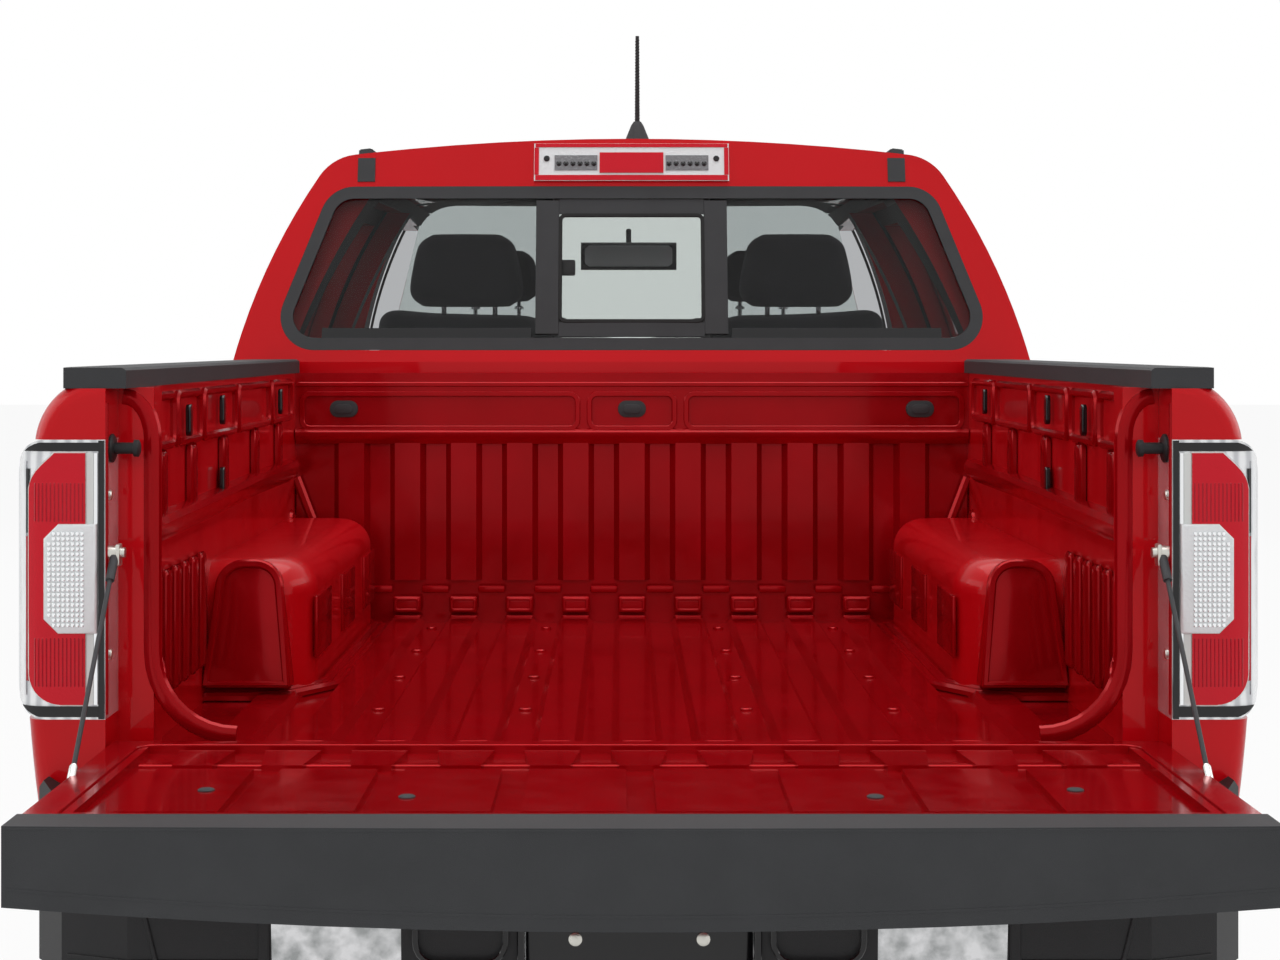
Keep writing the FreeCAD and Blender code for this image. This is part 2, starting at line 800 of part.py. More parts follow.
def front_section(y, top_drop, inset=0):
    """Section ahead of the doors: the door's own side, a soft shoulder and a crowned hood."""
    shoulder = z_belt - 190 - top_drop - inset
    top = z_hood + 20 - top_drop - inset
    edge = z_hood - 10 - top_drop - inset
    foot_x = v.body_half_width - v.sill_tuck - inset
    side_x = skin_x(z_belt - 190) - float(inset)
    middle_x = float(v.body_half_width - inset)
    belly_z = z_sill + 0.3 * (z_belt - z_sill)
    hood_x = float(x_hood)
    def at(x, z):
        return Vector(float(x), float(y), float(z))
    bend = at(side_x - 26, (shoulder + edge) / 2 + 22)
    edges = [
        line_edge(at(-foot_x, z_sill - 250), at(foot_x, z_sill - 250)),
        line_edge(at(foot_x, z_sill - 250), at(foot_x, z_sill)),
        arc_edge(at(foot_x, z_sill), at(middle_x - 2, belly_z), at(side_x, shoulder)),
        arc_edge(at(side_x, shoulder), bend, at(hood_x + 40, edge)),
        arc_edge(at(hood_x + 40, edge), at(0, top), at(-hood_x - 40, edge)),
        arc_edge(at(-hood_x - 40, edge), at(-bend.x, bend.z), at(-side_x, shoulder)),
        arc_edge(at(-side_x, shoulder), at(2 - middle_x, belly_z), at(-foot_x, z_sill)),
        line_edge(at(-foot_x, z_sill), at(-foot_x, z_sill - 250)),
    ]
    return Part.Wire(edges)


def nose_plan(inset=0):
    """The front end from above: sides that draw in and a bowed nose."""
    wide = float(v.body_half_width) + 30 - float(inset)
    tip = float(y_front) - 32 - float(inset)
    back = float(y_front_axle)
    low = -500
    def at(x, y):
        return Vector(x, y, low)
    edges = [
        line_edge(at(wide, float(y_door) - 400), at(wide, back + 120)),
        arc_edge(at(wide, back + 120), at(wide - 26, back + 470), at(wide - 130, tip - 130)),
        arc_edge(at(wide - 130, tip - 130), at(0, tip), at(130 - wide, tip - 130)),
        arc_edge(at(130 - wide, tip - 130), at(26 - wide, back + 470), at(-wide, back + 120)),
        line_edge(at(-wide, back + 120), at(-wide, float(y_door) - 400)),
        line_edge(at(-wide, float(y_door) - 400), at(wide, float(y_door) - 400)),
    ]
    face = Part.Face(Part.Wire(edges))
    nose = face.extrude(Vector(0, 0, FAR))
    corners = [
        e for e in nose.Edges
        if e.BoundBox.ZLength > FAR / 2 and e.BoundBox.YMin > tip - 140 and abs(e.BoundBox.XMin) > 400
    ]
    return nose.makeFillet(150 - float(inset), corners)


def nose_profile(inset=0):
    """The front end from the side: the hood's lip rolls down into an upright nose."""
    def at(y, z):
        return Vector(0, float(y), float(z))
    tip = y_front - 30 - inset
    top = z_hood - v.hood_drop - inset
    roll_start = at(tip - 230, top + 24)
    roll_end = at(tip - 12, top - 70)
    edges = [
        line_edge(at(y_door - 400, 0), at(y_door - 400, z_roof)),
        line_edge(at(y_door - 400, z_roof), at(tip - 230, z_roof)),
        line_edge(at(tip - 230, z_roof), roll_start),
        arc_edge(roll_start, at(tip - 70, top - 8), roll_end),
        line_edge(roll_end, at(tip, z_sill + 150)),
        line_edge(at(tip, z_sill + 150), at(tip - 30, 0)),
        line_edge(at(tip - 30, 0), at(y_door - 400, 0)),
    ]
    face = Part.Face(Part.Wire(edges))
    face.translate(Vector(-FAR / 2, 0, 0))
    return face.extrude(Vector(FAR, 0, 0))


def nose_block(inset=0):
    wires = [front_section(y_door, 0, inset), front_section(y_front + 40, v.hood_drop, inset)]
    return Part.makeLoft(wires, True, True).common(nose_plan(inset)).common(nose_profile(inset))


def make_front_end():
    thick = 38
    gap = v.panel_gap
    block_out, block_in = nose_block(), nose_block(thick)
    shell = block_out.cut(block_in)
    y_hood_end = y_front - 120
    hood_zone = block(-x_hood, x_hood, y_cowl + 20, y_front + 10, z_hood - v.hood_drop - 95, FAR)
    grille_half = 545
    lamp_low, lamp_high = z_hood - v.hood_drop - 265, z_hood - v.hood_drop - 101
    hood = shell.common(hood_zone)
    solid_feature("hood", largest(hood))

    arch_start = Vector(x_frame + 30, y_front_axle, z_axle)
    arch = Part.makeCylinder(float(arch_radius), 600, arch_start, Vector(1, 0, 0))
    bumper_top = z_sill + 200
    lamp_zone_box = block(grille_half, FAR, y_front - 330, FAR, lamp_low, lamp_high)
    nose_zone = block(0, grille_half, y_front - 420, FAR, bumper_top, lamp_high + 60)
    hood_clear = block(0, x_hood + gap, y_cowl, FAR, z_hood - v.hood_drop - 101, FAR)
    fender = shell.common(block(400, FAR, y_door + gap, FAR, z_sill + 12, FAR))
    fender = fender.cut(hood_clear).cut(arch).cut(lamp_zone_box).cut(nose_zone)
    fender = fender.cut(block(0, x_hood - 40, -FAR, y_front - 340, -FAR, FAR))
    fender = fender.cut(block(0, FAR, y_front_axle + 350, FAR, -FAR, bumper_top))
    fender = fender.cut(block(0, x_hood + 20, -FAR, y_cowl + 40, -FAR, FAR))
    fender = fender.cut(bowed_front(-v.fit).common(block(-FAR, FAR, -FAR, FAR, z_screen_base - 60, FAR)))
    solid_feature("front_fenders", both_sides(largest(fender)))

    lamp = block_out.cut(nose_block(90)).common(lamp_zone_box)
    solid_feature("headlamps", both_sides(largest(lamp)))
    make_grille(block_out, grille_half, bumper_top, lamp_high)
    make_front_bumper(bumper_top)


def make_grille(block_out, half, low, high):
    """Grille with a moulded surround, three deep bars and fine slats behind them."""
    zone = block(-half, half, y_front - 300, FAR, low, high)
    front = block_out.cut(nose_block(26)).common(zone)
    opening = block(-half + 45, half - 45, -FAR, FAR, low + 45, high - 40)
    frame = front.cut(opening)
    height = float(high) - float(low) - 85
    bars = []
    for step in (1, 2, 3):
        middle = float(low) + 45 + height * step / 4
        bars.append(front.common(block(-half + 40, half - 40, -FAR, FAR, middle - 13, middle + 13)))
    mesh = nose_block(22).cut(nose_block(34)).common(
        block(-half + 40, half - 40, y_front - 300, FAR, low + 40, high - 35)
    )
    shape = frame.multiFuse(bars + [mesh]).removeSplitter()
    solid_feature("grille", shape)


def make_front_bumper(top):
    """Body-coloured bumper that wraps the corners, with a lower grille opening."""
    outer = nose_plan(-32)
    inner = nose_plan(30)
    low = z_sill - 130
    zone = block(-FAR, FAR, y_front_axle + arch_radius + 10, y_front, low, top)
    skin = outer.cut(inner).common(zone)
    skin = skin.common(block(-v.body_half_width, v.body_half_width, -FAR, FAR, -FAR, FAR))
    mouth = block(-430, 430, y_front - 400, FAR, z_sill - 60, z_sill + 60)
    skin = skin.cut(mouth)
    slats = nose_plan(4).cut(nose_plan(28)).common(
        block(-440, 440, y_front - 300, FAR, z_sill - 8, z_sill + 8)
    )
    skin = skin.fuse(slats).removeSplitter()
    solid_feature("front_bumper", skin)


def make_front_structure():
    """Aprons, firewall bridge and radiator support between the fenders."""
    low, high = z_frame_top + 40, z_hood - 150
    y_back, y_ahead = y_cowl - 25, y_front - 340
    plate = 10
    apron = prism(
        [(y_back, low), (y_ahead, low), (y_ahead, high - 60), (y_back, high)],
        "x", x_frame - plate, x_frame,
    )
    shelf = block(
        x_frame - plate, v.body_half_width, y_front_axle - 380, y_front_axle + 330, high - 75, high - 65
    ).common(nose_block(38))
    side = apron.fuse(shelf)
    support = block(-x_frame, x_frame, y_ahead, y_ahead + 40, low, high - 60)
    support = support.cut(block(-x_frame + 60, x_frame - 60, -FAR, FAR, low + 60, high - 110))
    core = block(-x_frame + 60, x_frame - 60, y_ahead + 8, y_ahead + 32, low + 60, high - 110)
    stop = block(x_frame - 80, x_frame - 40, y_ahead + 5, y_ahead + 35, high - 61, z_hood)
    stop = largest(stop.common(nose_block(38 + v.fit)))
    shape = side.multiFuse([mirror_x(side), support, core, stop, mirror_x(stop)]).removeSplitter()
    solid_feature("front_structure", shape)


def make_arch_liners():
    """Curved liners over the front tyres."""
    centre, across = Vector(x_frame + 160, y_front_axle, z_axle), Vector(1, 0, 0)
    width = float(v.body_half_width - x_frame) - 210
    outer = Part.makeCylinder(float(arch_radius - v.fit), width, centre, across)
    inner = Part.makeCylinder(float(arch_radius) - 5, 800, centre, across)
    liner = outer.cut(inner).common(block(0, FAR, -FAR, FAR, z_axle + 20, FAR))
    solid_feature("arch_liners", both_sides(largest(liner)))


# Bed


def bed_side_section(y, inner, inset=0, tuck=0):
    """Outer face of the bed side, from its lower edge to under the rail, closed at an inner line."""
    half = v.body_half_width - inset
    low = z_sill + 60
    top = z_rail - v.rail_cap_height

    def at(x, z):
        return Vector(float(x), float(y), float(z))

    foot = at(half - 18 - tuck, low)
    side = arc_edge(foot, at(half, low + 250), at(half - 4, z_belt - v.lamp_top_drop))
    return Part.Wire([
        line_edge(at(inner, low), foot),
        side,
        arc_onward(side, at(half - 48, top)),
        line_edge(at(half - 48, top), at(inner, top)),
        line_edge(at(inner, top), at(inner, low)),
    ])


def bed_side_form():
    """The whole bed side, straight behind the cab and drawn in towards the tail."""
    y_taper = y_tail + v.taper_run
    wires = []
    for step in range(4):
        share = 0.35 * step
        y = y_tail + v.taper_run * (1 - share)
        wires.append(bed_side_section(y, x_bed - 40, v.tail_taper * share**2, v.tail_tuck * share**2))
    rear = Part.makeLoft(wires, True, False).common(block(x_bed, FAR, y_tail, y_taper, 0, FAR))
    straight = Part.Face(bed_side_section(y_taper, x_bed))
    return rear.fuse(straight.extrude(Vector(0, float(y_bed_front - y_taper), 0)))


def lamp_zone():
    high = z_belt - v.lamp_top_drop
    return block(x_slot, FAR, y_tail - 10, y_tail + v.lamp_length, high - v.lamp_height, high)


def make_tail_lamps():
    """Lamps that stand a little proud of the drawn-in tail and wrap round its corner."""
    inset = 8
    half = v.body_half_width - inset
    high = z_belt - v.lamp_top_drop
    low = high - v.lamp_height
    y_end = y_tail + v.lamp_length
    face = Part.Face(bed_side_section(y_tail, x_slot, inset))
    lamp = face.extrude(Vector(0, float(v.lamp_length), 0))
    from_behind = [(x_slot - 90, low), (half, low), (half, high), (x_slot - 90, high)]
    from_above = [(x_slot - 90, y_tail), (half, y_tail), (half, y_end + 200), (x_slot - 90, y_end + 200)]
    lamp = lamp.common(rounded_prism(from_behind, "y", y_tail - 1, y_end + 1, 50))
    lamp = lamp.common(rounded_prism(from_above, "z", low - 1, high + 1, 55))
    solid_feature("tail_lamps", both_sides(largest(lamp)))


def make_bed_sides():
    """Right bed side with its rear pillar, wheel arch and wheelhouse; the left one is its mirror."""
    wall = bed_side_form()
    rear_edges = [
        e for e in wall.Edges
        if e.BoundBox.YMax < float(y_tail) + 1
        and e.BoundBox.XMin > float(x_bed) + 60
        and e.BoundBox.ZLength > 40
    ]
    wall = wall.makeFillet(26, rear_edges)
    slot = block(0, x_slot, y_tail - 1, y_floor_end, -FAR, FAR)
    pillar = block(
        x_opening, x_bed + 4, y_floor_end, y_floor_end + v.pillar_length,
        z_bed - v.bed_floor_thickness - 20, z_rail - v.rail_cap_height,
    )
    toe = block(x_bed, x_slot, y_tail + 2, y_floor_end, z_sill + 60, z_hinge - 60)
    side = wall.fuse(pillar).cut(slot).fuse(toe)
    house = wheelhouse(0)
    side = side.fuse(house)
    side = side.cut(wheelhouse(v.wheelhouse_wall))
    arch = Part.makeCylinder(
        float(arch_radius), 400, Vector(x_house + v.wheelhouse_wall, y_rear_axle, z_axle), Vector(1, 0, 0)
    )
    side = side.cut(arch.common(block(x_bed - 5, FAR, -FAR, FAR, -FAR, FAR)))
    side = side.cut(lamp_zone())
    side = largest(side.removeSplitter())
    solid_feature("bed_sides", both_sides(side))


def wheelhouse(inset):
    """Box with big rounded corners over the rear tyre, or the space inside it."""
    length = arch_radius * 2 + 60
    top = z_axle + arch_radius + v.wheelhouse_room - inset
    x0 = x_house + inset
    x1 = x_bed + (1 if float(inset) == 0 else 2)
    low = z_bed - v.bed_floor_thickness if float(inset) == 0 else z_bed - v.bed_floor_thickness - 200
    y0, y1 = y_rear_axle - length / 2 + inset, y_rear_axle + length / 2 - inset
    shape = block(x0, x1, y0, y1, low, top)
    uprights = [
        e for e in shape.Edges
        if abs(e.BoundBox.ZLength - (float(top) - float(low))) < 1 and e.BoundBox.XMax < float(x0) + 1
    ]
    shape = shape.makeFillet(90 - float(inset), uprights)
    crown = [
        e for e in shape.Edges
        if e.BoundBox.ZMin > float(top) - 1 and e.BoundBox.XMax < float(x1) - 1
    ]
    return shape.makeFillet(60 - float(inset), crown)


def ridge_profile(half, low, thick, rise, slope=12):
    """Corrugated strip seen on end: ridges at an even pitch between its two edges."""
    top, bottom = [], []
    count = int((float(half) - float(v.ridge_width) / 2 - 20) // float(v.ridge_pitch))
    for index in range(-count, count + 1):
        middle = v.ridge_pitch * index
        edge = v.ridge_width / 2
        top += [
            (middle - edge - slope, low + thick),
            (middle - edge, low + thick + rise),
            (middle + edge, low + thick + rise),
            (middle + edge + slope, low + thick),
        ]
        bottom += [
            (middle - edge, low),
            (middle - edge + slope, low + rise),
            (middle + edge - slope, low + rise),
            (middle + edge, low),
        ]
    outline = [(0 - half, low), (0 - half, low + thick)] + top + [(half, low + thick), (half, low)]
    return outline + bottom[::-1]


def make_bed_floor():
    """Ribbed floor with five sills across the frame below it."""
    thick = v.bed_floor_thickness
    low = z_bed - thick
    rise = v.bed_ridge
    sheet_metal = prism(ridge_profile(x_bed, low - rise, thick, rise), "y", y_floor_end, y_bulkhead + 18)
    house = wheelhouse(0)
    below = house.translated(Vector(0, 0, -60))
    house = house.fuse(below)
    sheet_metal = sheet_metal.cut(house).cut(mirror_x(house))
    pillar = block(
        x_opening, x_bed + 4, y_floor_end, y_floor_end + v.pillar_length,
        z_bed - v.bed_floor_thickness - 20, z_rail,
    )
    sheet_metal = sheet_metal.cut(pillar).cut(mirror_x(pillar))
    sills = []
    count = 5
    first, last = float(y_floor_end) + 90, float(y_bulkhead) - 90
    for index in range(count):
        y = first + (last - first) * index / (count - 1)
        near_axle = abs(y - float(y_rear_axle)) < float(arch_radius) + 70
        half = float(x_house) - 4 if near_axle else float(x_bed) - 2
        sills.append(block(-half, half, y - 30, y + 30, z_frame_rear_top, low - rise))
    shape = sheet_metal.multiFuse(sills).removeSplitter()
    solid_feature("bed_floor", shape)


def make_bulkhead():
    """Front wall of the bed: upright ribs under a boxed header."""
    thick = 10
    rise = 18
    top = z_rail - v.rail_cap_height
    header = top - 126
    profile = ridge_profile(x_bed, 0, thick, rise)
    face = face_of(profile, "z")
    face = face.mirror(Vector(0, 0, 0), Vector(0, 1, 0))
    face.translate(Vector(0, float(y_bulkhead) + rise + thick, float(z_bed) + 80))
    ribs = face.extrude(Vector(0, 0, float(header) - float(z_bed) - 80))
    foot = block(
        -x_bed, x_bed, y_bulkhead + rise, y_bulkhead + rise + thick,
        z_bed - v.bed_floor_thickness - 14, z_bed + 80,
    )
    head = block(-x_bed, x_bed, y_bulkhead, y_bed_front, header, top)
    recesses = []
    for x0, x1 in ((20 - x_bed, -124), (-90, 90), (124, x_bed - 20)):
        recesses.append(block(x0, x1, y_bulkhead - 1, y_bulkhead + 6, header + 8, top - 50))
    shape = ribs.multiFuse([foot, head]).removeSplitter().cut(Part.Compound(recesses))
    solid_feature("bed_front_wall", shape)


def make_rail_caps():
    """Moulded caps on the bed rails."""
    inner = x_bed - 4
    outer = v.body_half_width - 46
    low = z_rail - v.rail_cap_height
    corners = [
        (inner, low), (inner, z_rail - 4), (inner + 6, z_rail),
        (outer - 22, z_rail), (outer, low + 8), (outer, low),
    ]
    right = new_body("RailCap")
    pad(right, "XZ_Plane", corners, y_tail + 4, y_bed_front - y_tail - 4)
    sweep = (v.taper_run * v.taper_run + v.tail_taper * v.tail_taper) / (v.tail_taper * 2)
    drawn_in = outer - v.tail_taper
    outside = [
        (outer, y_tail + v.taper_run, 0 - sweep), (drawn_in, y_tail), (drawn_in, y_tail - 20),
        (outer + 30, y_tail - 20), (outer + 30, y_tail + v.taper_run),
    ]
    pocket(right, "XY_Plane", outside, low - 2, v.rail_cap_height + 4)
    pair("bed_rail_caps", right)


# Tailgate, modelled as it rests: open and level on its cables


def make_tailgate():
    half = x_gate
    top = z_hinge + v.gate_thickness - v.hinge_inset + 3
    low = top - v.gate_thickness
    y0 = y_hinge + v.gate_below_hinge
    y1 = y_tail - gate_reach + v.gate_cap_bow
    gate = new_body("Gate")
    gate_view = [
        (y1, low + 8), (y1 + 10, low), (y0 - 6, low), (y0, low + 10), (y0, top - 6), (y0 - 6, top), (y1, top),
    ]
    pad(gate, "YZ_Plane", gate_view, 0 - half, half * 2)
    recess_low, recess_high = y1 + v.gate_cap_depth + 30, y0 - 46
    pocket(gate, "XY_Plane", box_corners(60 - half, half - 60, recess_low, recess_high), top - 10, 20)
    pad_y0, pad_y1 = recess_high - 125, recess_high - 18
    count = 11
    span = half * 2 - 170
    for index in range(count):
        middle = span * ((index + 0.5) / count) - span / 2
        keystone = [
            (middle - 28, pad_y0), (middle + 28, pad_y0), (middle + 40, pad_y1), (middle - 40, pad_y1),
        ]
        pad(gate, "XY_Plane", keystone, top - 11, 9)
    bars = 8
    for index in range(bars):
        middle = span * ((index + 0.5) / bars) - span / 2
        pad(gate, "XY_Plane", box_corners(middle - 66, middle + 66, recess_low + 14, pad_y0 - 22), top - 11, 9)
    pocket(gate, "XY_Plane", box_corners(-130, 130, y1 + 100, y1 + 180), low - 4, 34)
    pad(gate, "YZ_Plane", circle_corners(y_hinge, z_hinge, 12), v.fit - x_slot, (x_slot - v.fit) * 2)
    keep("tailgate", gate)

    make_gate_lip(half, y1, low, top)


def make_gate_lip(half, y1, low, top):
    """Moulded cap on the gate's upper edge, bowed in plan, with a lip that hangs deepest at its middle."""
    tip = y1 - v.gate_cap_bow
    bottom = top - v.gate_lip_depth
    deepest = bottom - v.gate_lip_bow
    cover = top + 5

    def at(x, z):
        return Vector(float(x), float(tip) - 1, float(z))

    def below(x, y):
        return Vector(float(x), float(y), float(deepest) - 1)

    outline = Part.Wire([
        line_edge(at(0 - half, cover), at(half, cover)),
        line_edge(at(half, cover), at(half, bottom)),
        arc_edge(at(half, bottom), at(0, deepest), at(0 - half, bottom)),
        line_edge(at(0 - half, bottom), at(0 - half, cover)),
    ])
    lip = Part.Face(outline).extrude(Vector(0, float(v.gate_cap_depth + v.gate_cap_bow) + 1, 0))
    y_back = y1 + v.gate_cap_depth
    plan = Part.Wire([
        arc_edge(below(0 - half, y1 - 1), below(0, tip), below(half, y1 - 1)),
        line_edge(below(half, y1 - 1), below(half, y_back)),
        line_edge(below(half, y_back), below(0 - half, y_back)),
        line_edge(below(0 - half, y_back), below(0 - half, y1 - 1)),
    ])
    lip = lip.common(Part.Face(plan).extrude(Vector(0, 0, float(cover - deepest) + 2)))
    underside = [
        (y1 + 16, deepest - 2), (y_back - 2, low - 2), (y_back + 1, low - 2), (y_back + 1, deepest - 9),
        (y1 + 16, deepest - 9),
    ]
    lip = lip.cut(prism(underside, "x", -FAR, FAR))
    lip = lip.cut(block(-FAR, FAR, y1, FAR, low, top))
    solid_feature("tailgate_cap", largest(lip))


def make_gate_cables():
    """Two tight cables from the bed pillars to the gate's edges."""
    top = Vector(x_slot - 5, y_tail + 12, z_bed + 300)
    foot = Vector(x_slot - 3.5, y_tail - 238, z_hinge + 12)
    cable = Part.makeCylinder(3, (foot - top).Length, top, foot - top)
    eye = Part.makeCylinder(11, 12.5, Vector(x_slot - 12.5, top.y, top.z), Vector(1, 0, 0))
    ferrule = Part.makeCylinder(9, 6, Vector(x_slot - 6.5, foot.y, foot.z), Vector(1, 0, 0))
    solid_feature("tailgate_cables", both_sides(cable.multiFuse([eye, ferrule]).removeSplitter()))


def make_rear_bumper():
    """Step bumper: a bright steel bar with a dark middle round the plate recess, and dark corner steps."""
    y0, y1 = y_tail - v.bumper_reach, y_tail - 8
    top = z_sill + 200
    low = top - v.bumper_height
    half = v.body_half_width - 56
    face_y = y0 + 18
    chrome = new_body("BumperBar")
    bar_view = [
        (y0 + 8, low + 20), (y0 + 60, low), (y1, low + 40), (y1, top - 14), (y0 + 10, top - 14), (y0, top - 40),
    ]
    pad(chrome, "YZ_Plane", bar_view, -510, 1020)
    pocket(chrome, "XZ_Plane", box_corners(-330, 330, low - 10, top), y0 - 10, 28)
    for x in (-v.plate_screw_pitch / 2, v.plate_screw_pitch / 2):
        pocket(chrome, "XZ_Plane", circle_corners(x, top - 127, v.plate_screw_radius), y0 + 10, 28)
    keep("rear_bumper", chrome)

    tread = block(-330, 330, y0 - 6, y1 - 10, top - 14, top)
    apron_view = [
        (y0 - 6, top - 1), (y0 - 6, top - 44), (y0 + 4, low + 16),
        (face_y - v.fit, low + 10), (face_y - v.fit, top - 1),
    ]
    apron = prism(apron_view, "x", v.fit - 330, 330 - v.fit)
    centre = tread.fuse(apron).removeSplitter()
    centre = centre.cut(block(-165, 165, -FAR, face_y, low - 10, top - 60))
    corner_plan = [
        (510, y0 + 4), (half - 150, y0 + 4), (half - 50, y0 + 38), (half, y0 + 105),
        (half, y_tail - 8), (510, y_tail - 8),
    ]
    corner = prism(corner_plan, "z", low + 10, top)
    horn_view = [
        (half - 74, top - 1), (half - 54, top + 34), (half - 26, top + 68), (half - 10, top + 78),
        (half, top + 66), (half, top - 1),
    ]
    horn = prism(horn_view, "y", y0 + 50, y_tail - 8).common(prism(corner_plan, "z", top - 2, top + 90))
    corner = corner.fuse(horn).removeSplitter()
    solid_feature("bumper_steps", Part.Compound([centre, largest(corner), mirror_x(largest(corner))]))


# Chassis


def make_frame():
    """Ladder frame: two boxed rails that rise over the rear axle, and the cross members."""
    x0 = x_frame - v.frame_flange
    front_top, front_low = z_frame_top + 40, z_frame_top - 90
    y_nose = y_front - 260
    y_kick = y_rear_axle + 430
    y_end = y_tail - 8
    rail = new_body("FrameRails")
    side_view = [
        (y_nose, front_low), (y_nose, front_top),
        (y_front_axle - 350, front_top), (y_door - 120, z_frame_top),
        (y_kick + 120, z_frame_top), (y_kick - 160, z_frame_rear_top),
        (y_end, z_frame_rear_top), (y_end, z_frame_rear_bottom),
        (y_kick - 220, z_frame_rear_bottom), (y_kick + 60, z_frame_bottom),
        (y_door - 60, z_frame_bottom), (y_front_axle - 380, front_low),
    ]
    first = pad(rail, "YZ_Plane", side_view, x0, v.frame_flange)
    mirrored(rail, [first])
    width = x0 * 2 + 2
    ties = (
        (y_nose - 90, front_low + 10, 70, 90), (y_front_axle + 110, front_low - 10, 90, 70),
        (y_front_axle - 210, front_low - 10, 90, 70), (y_door - 500, z_frame_bottom + 5, 80, 80),
        (y_rear_door - 150, z_frame_bottom + 5, 80, 80), (y_kick - 200, z_frame_rear_bottom + 20, 70, 90),
        (y_rear_axle - 330, z_frame_rear_bottom + 10, 70, 100), (y_end, z_frame_rear_bottom + 5, 60, 120),
    )
    for y, z, depth, height in ties:
        pad(rail, "XZ_Plane", box_corners(-1 - x0, x0 + 1, z, z + height), y, depth)
    for y in (y_cab_back + 150, y_rear_door - 60, y_door - 260):
        for x in (0 - x_frame, x_frame - v.frame_flange):
            seat = box_corners(x, x + v.frame_flange, y - 35, y + 35)
            pad(rail, "XY_Plane", seat, z_frame_top - 2, v.body_mount_height + 2)
    keep("frame", rail)
    return front_low


def make_powertrain():
    """Engine and gearbox, closed in, as plain blocks of the right size, with the shaft to the axle."""
    low = z_frame_top - 20
    y0 = y_front_axle - 330
    half = x_frame - v.frame_flange
    y_output = y0 - 640
    engine = block(-235, 235, y0, y0 + 640, low, low + 430)
    mounts = block(-half, half, y0 + 250, y0 + 340, low + 20, low + 80)
    gearbox = prism([(-110, low + 10), (110, low + 10), (80, low + 150), (-80, low + 150)], "y", y_output, y0)
    start = Vector(0, y_output + 20, low + 60)
    end = Vector(0, y_rear_axle, z_axle)
    shaft = Part.makeCylinder(30, (end - start).Length, start, end - start)
    case_start = Vector(-200, y_rear_axle, z_axle)
    case = Part.makeCylinder(float(v.diff_radius + v.fit), 400, case_start, Vector(1, 0, 0))
    whole = engine.multiFuse([mounts, gearbox, shaft]).removeSplitter().cut(case)
    solid_feature("powertrain", largest(whole))


def make_rear_axle():
    """Live axle: tubes, a round differential case and flanges that carry the wheels."""
    axle = new_body("RearAxle")
    face_x = x_wheel + 20 - v.fit
    drum = 120
    tube_r = v.axle_tube_radius
    profile = [
        (0 - face_x, 0), (0 - face_x, v.hub_radius - 8), (12 - face_x, v.hub_radius - 8), (12 - face_x, 130),
        (70 - face_x, 130), (70 - face_x, tube_r), (-150, tube_r), (-110, 105), (-60, v.diff_radius),
        (60, v.diff_radius), (110, 105), (150, tube_r), (face_x - 70, tube_r), (face_x - 70, 130),
        (face_x - 12, 130), (face_x - 12, v.hub_radius - 8), (face_x, v.hub_radius - 8), (face_x, 0),
    ]
    revolve(axle, "XY_Plane", profile)
    move(axle, 0, y_rear_axle, z_axle)
    keep("rear_axle", axle)



def make_leaf_spring():
    """Leaf spring of three leaves, clamped on the axle and hung from the rail."""
    x_leaf = x_frame + 20
    leaves = []
    for index, reach in enumerate((530, 400, 270)):
        base = float(z_axle) + float(v.axle_tube_radius) + 2 + (2 - index) * 12
        rise = 95 * (reach / 640) ** 2
        points = [
            Vector(0, float(y_rear_axle) - reach, base + rise),
            Vector(0, float(y_rear_axle), base),
            Vector(0, float(y_rear_axle) + reach, base + rise),
        ]
        low = arc_edge(*points)
        up = arc_edge(*[p + Vector(0, 0, 12) for p in points])
        ends = [line_edge(p, p + Vector(0, 0, 12)) for p in (points[0], points[2])]
        face = Part.Face(Part.Wire(Part.__sortEdges__([low, up] + ends)))
        face.translate(Vector(x_leaf, 0, 0))
        leaves.append(face.extrude(Vector(62, 0, 0)))
    spring = leaves[0].multiFuse(leaves[1:])
    z_tube = z_axle + v.axle_tube_radius
    clamp = block(x_leaf - 6, x_leaf + 68, y_rear_axle - 60, y_rear_axle + 60, z_tube - 6, z_tube + 46)
    hangers = []
    for sign, low in ((1, z_frame_top - 60), (-1, z_tube + 80)):
        y = float(y_rear_axle) + sign * 530
        hangers.append(block(x_frame, x_leaf + 62, y - 24, y + 24, low, z_frame_rear_bottom + 40))
    spring = spring.multiFuse([clamp] + hangers).removeSplitter()
    seat = Part.makeCylinder(float(v.axle_tube_radius), 2000, Vector(0, y_rear_axle, z_axle), Vector(1, 0, 0))
    return spring.cut(seat)


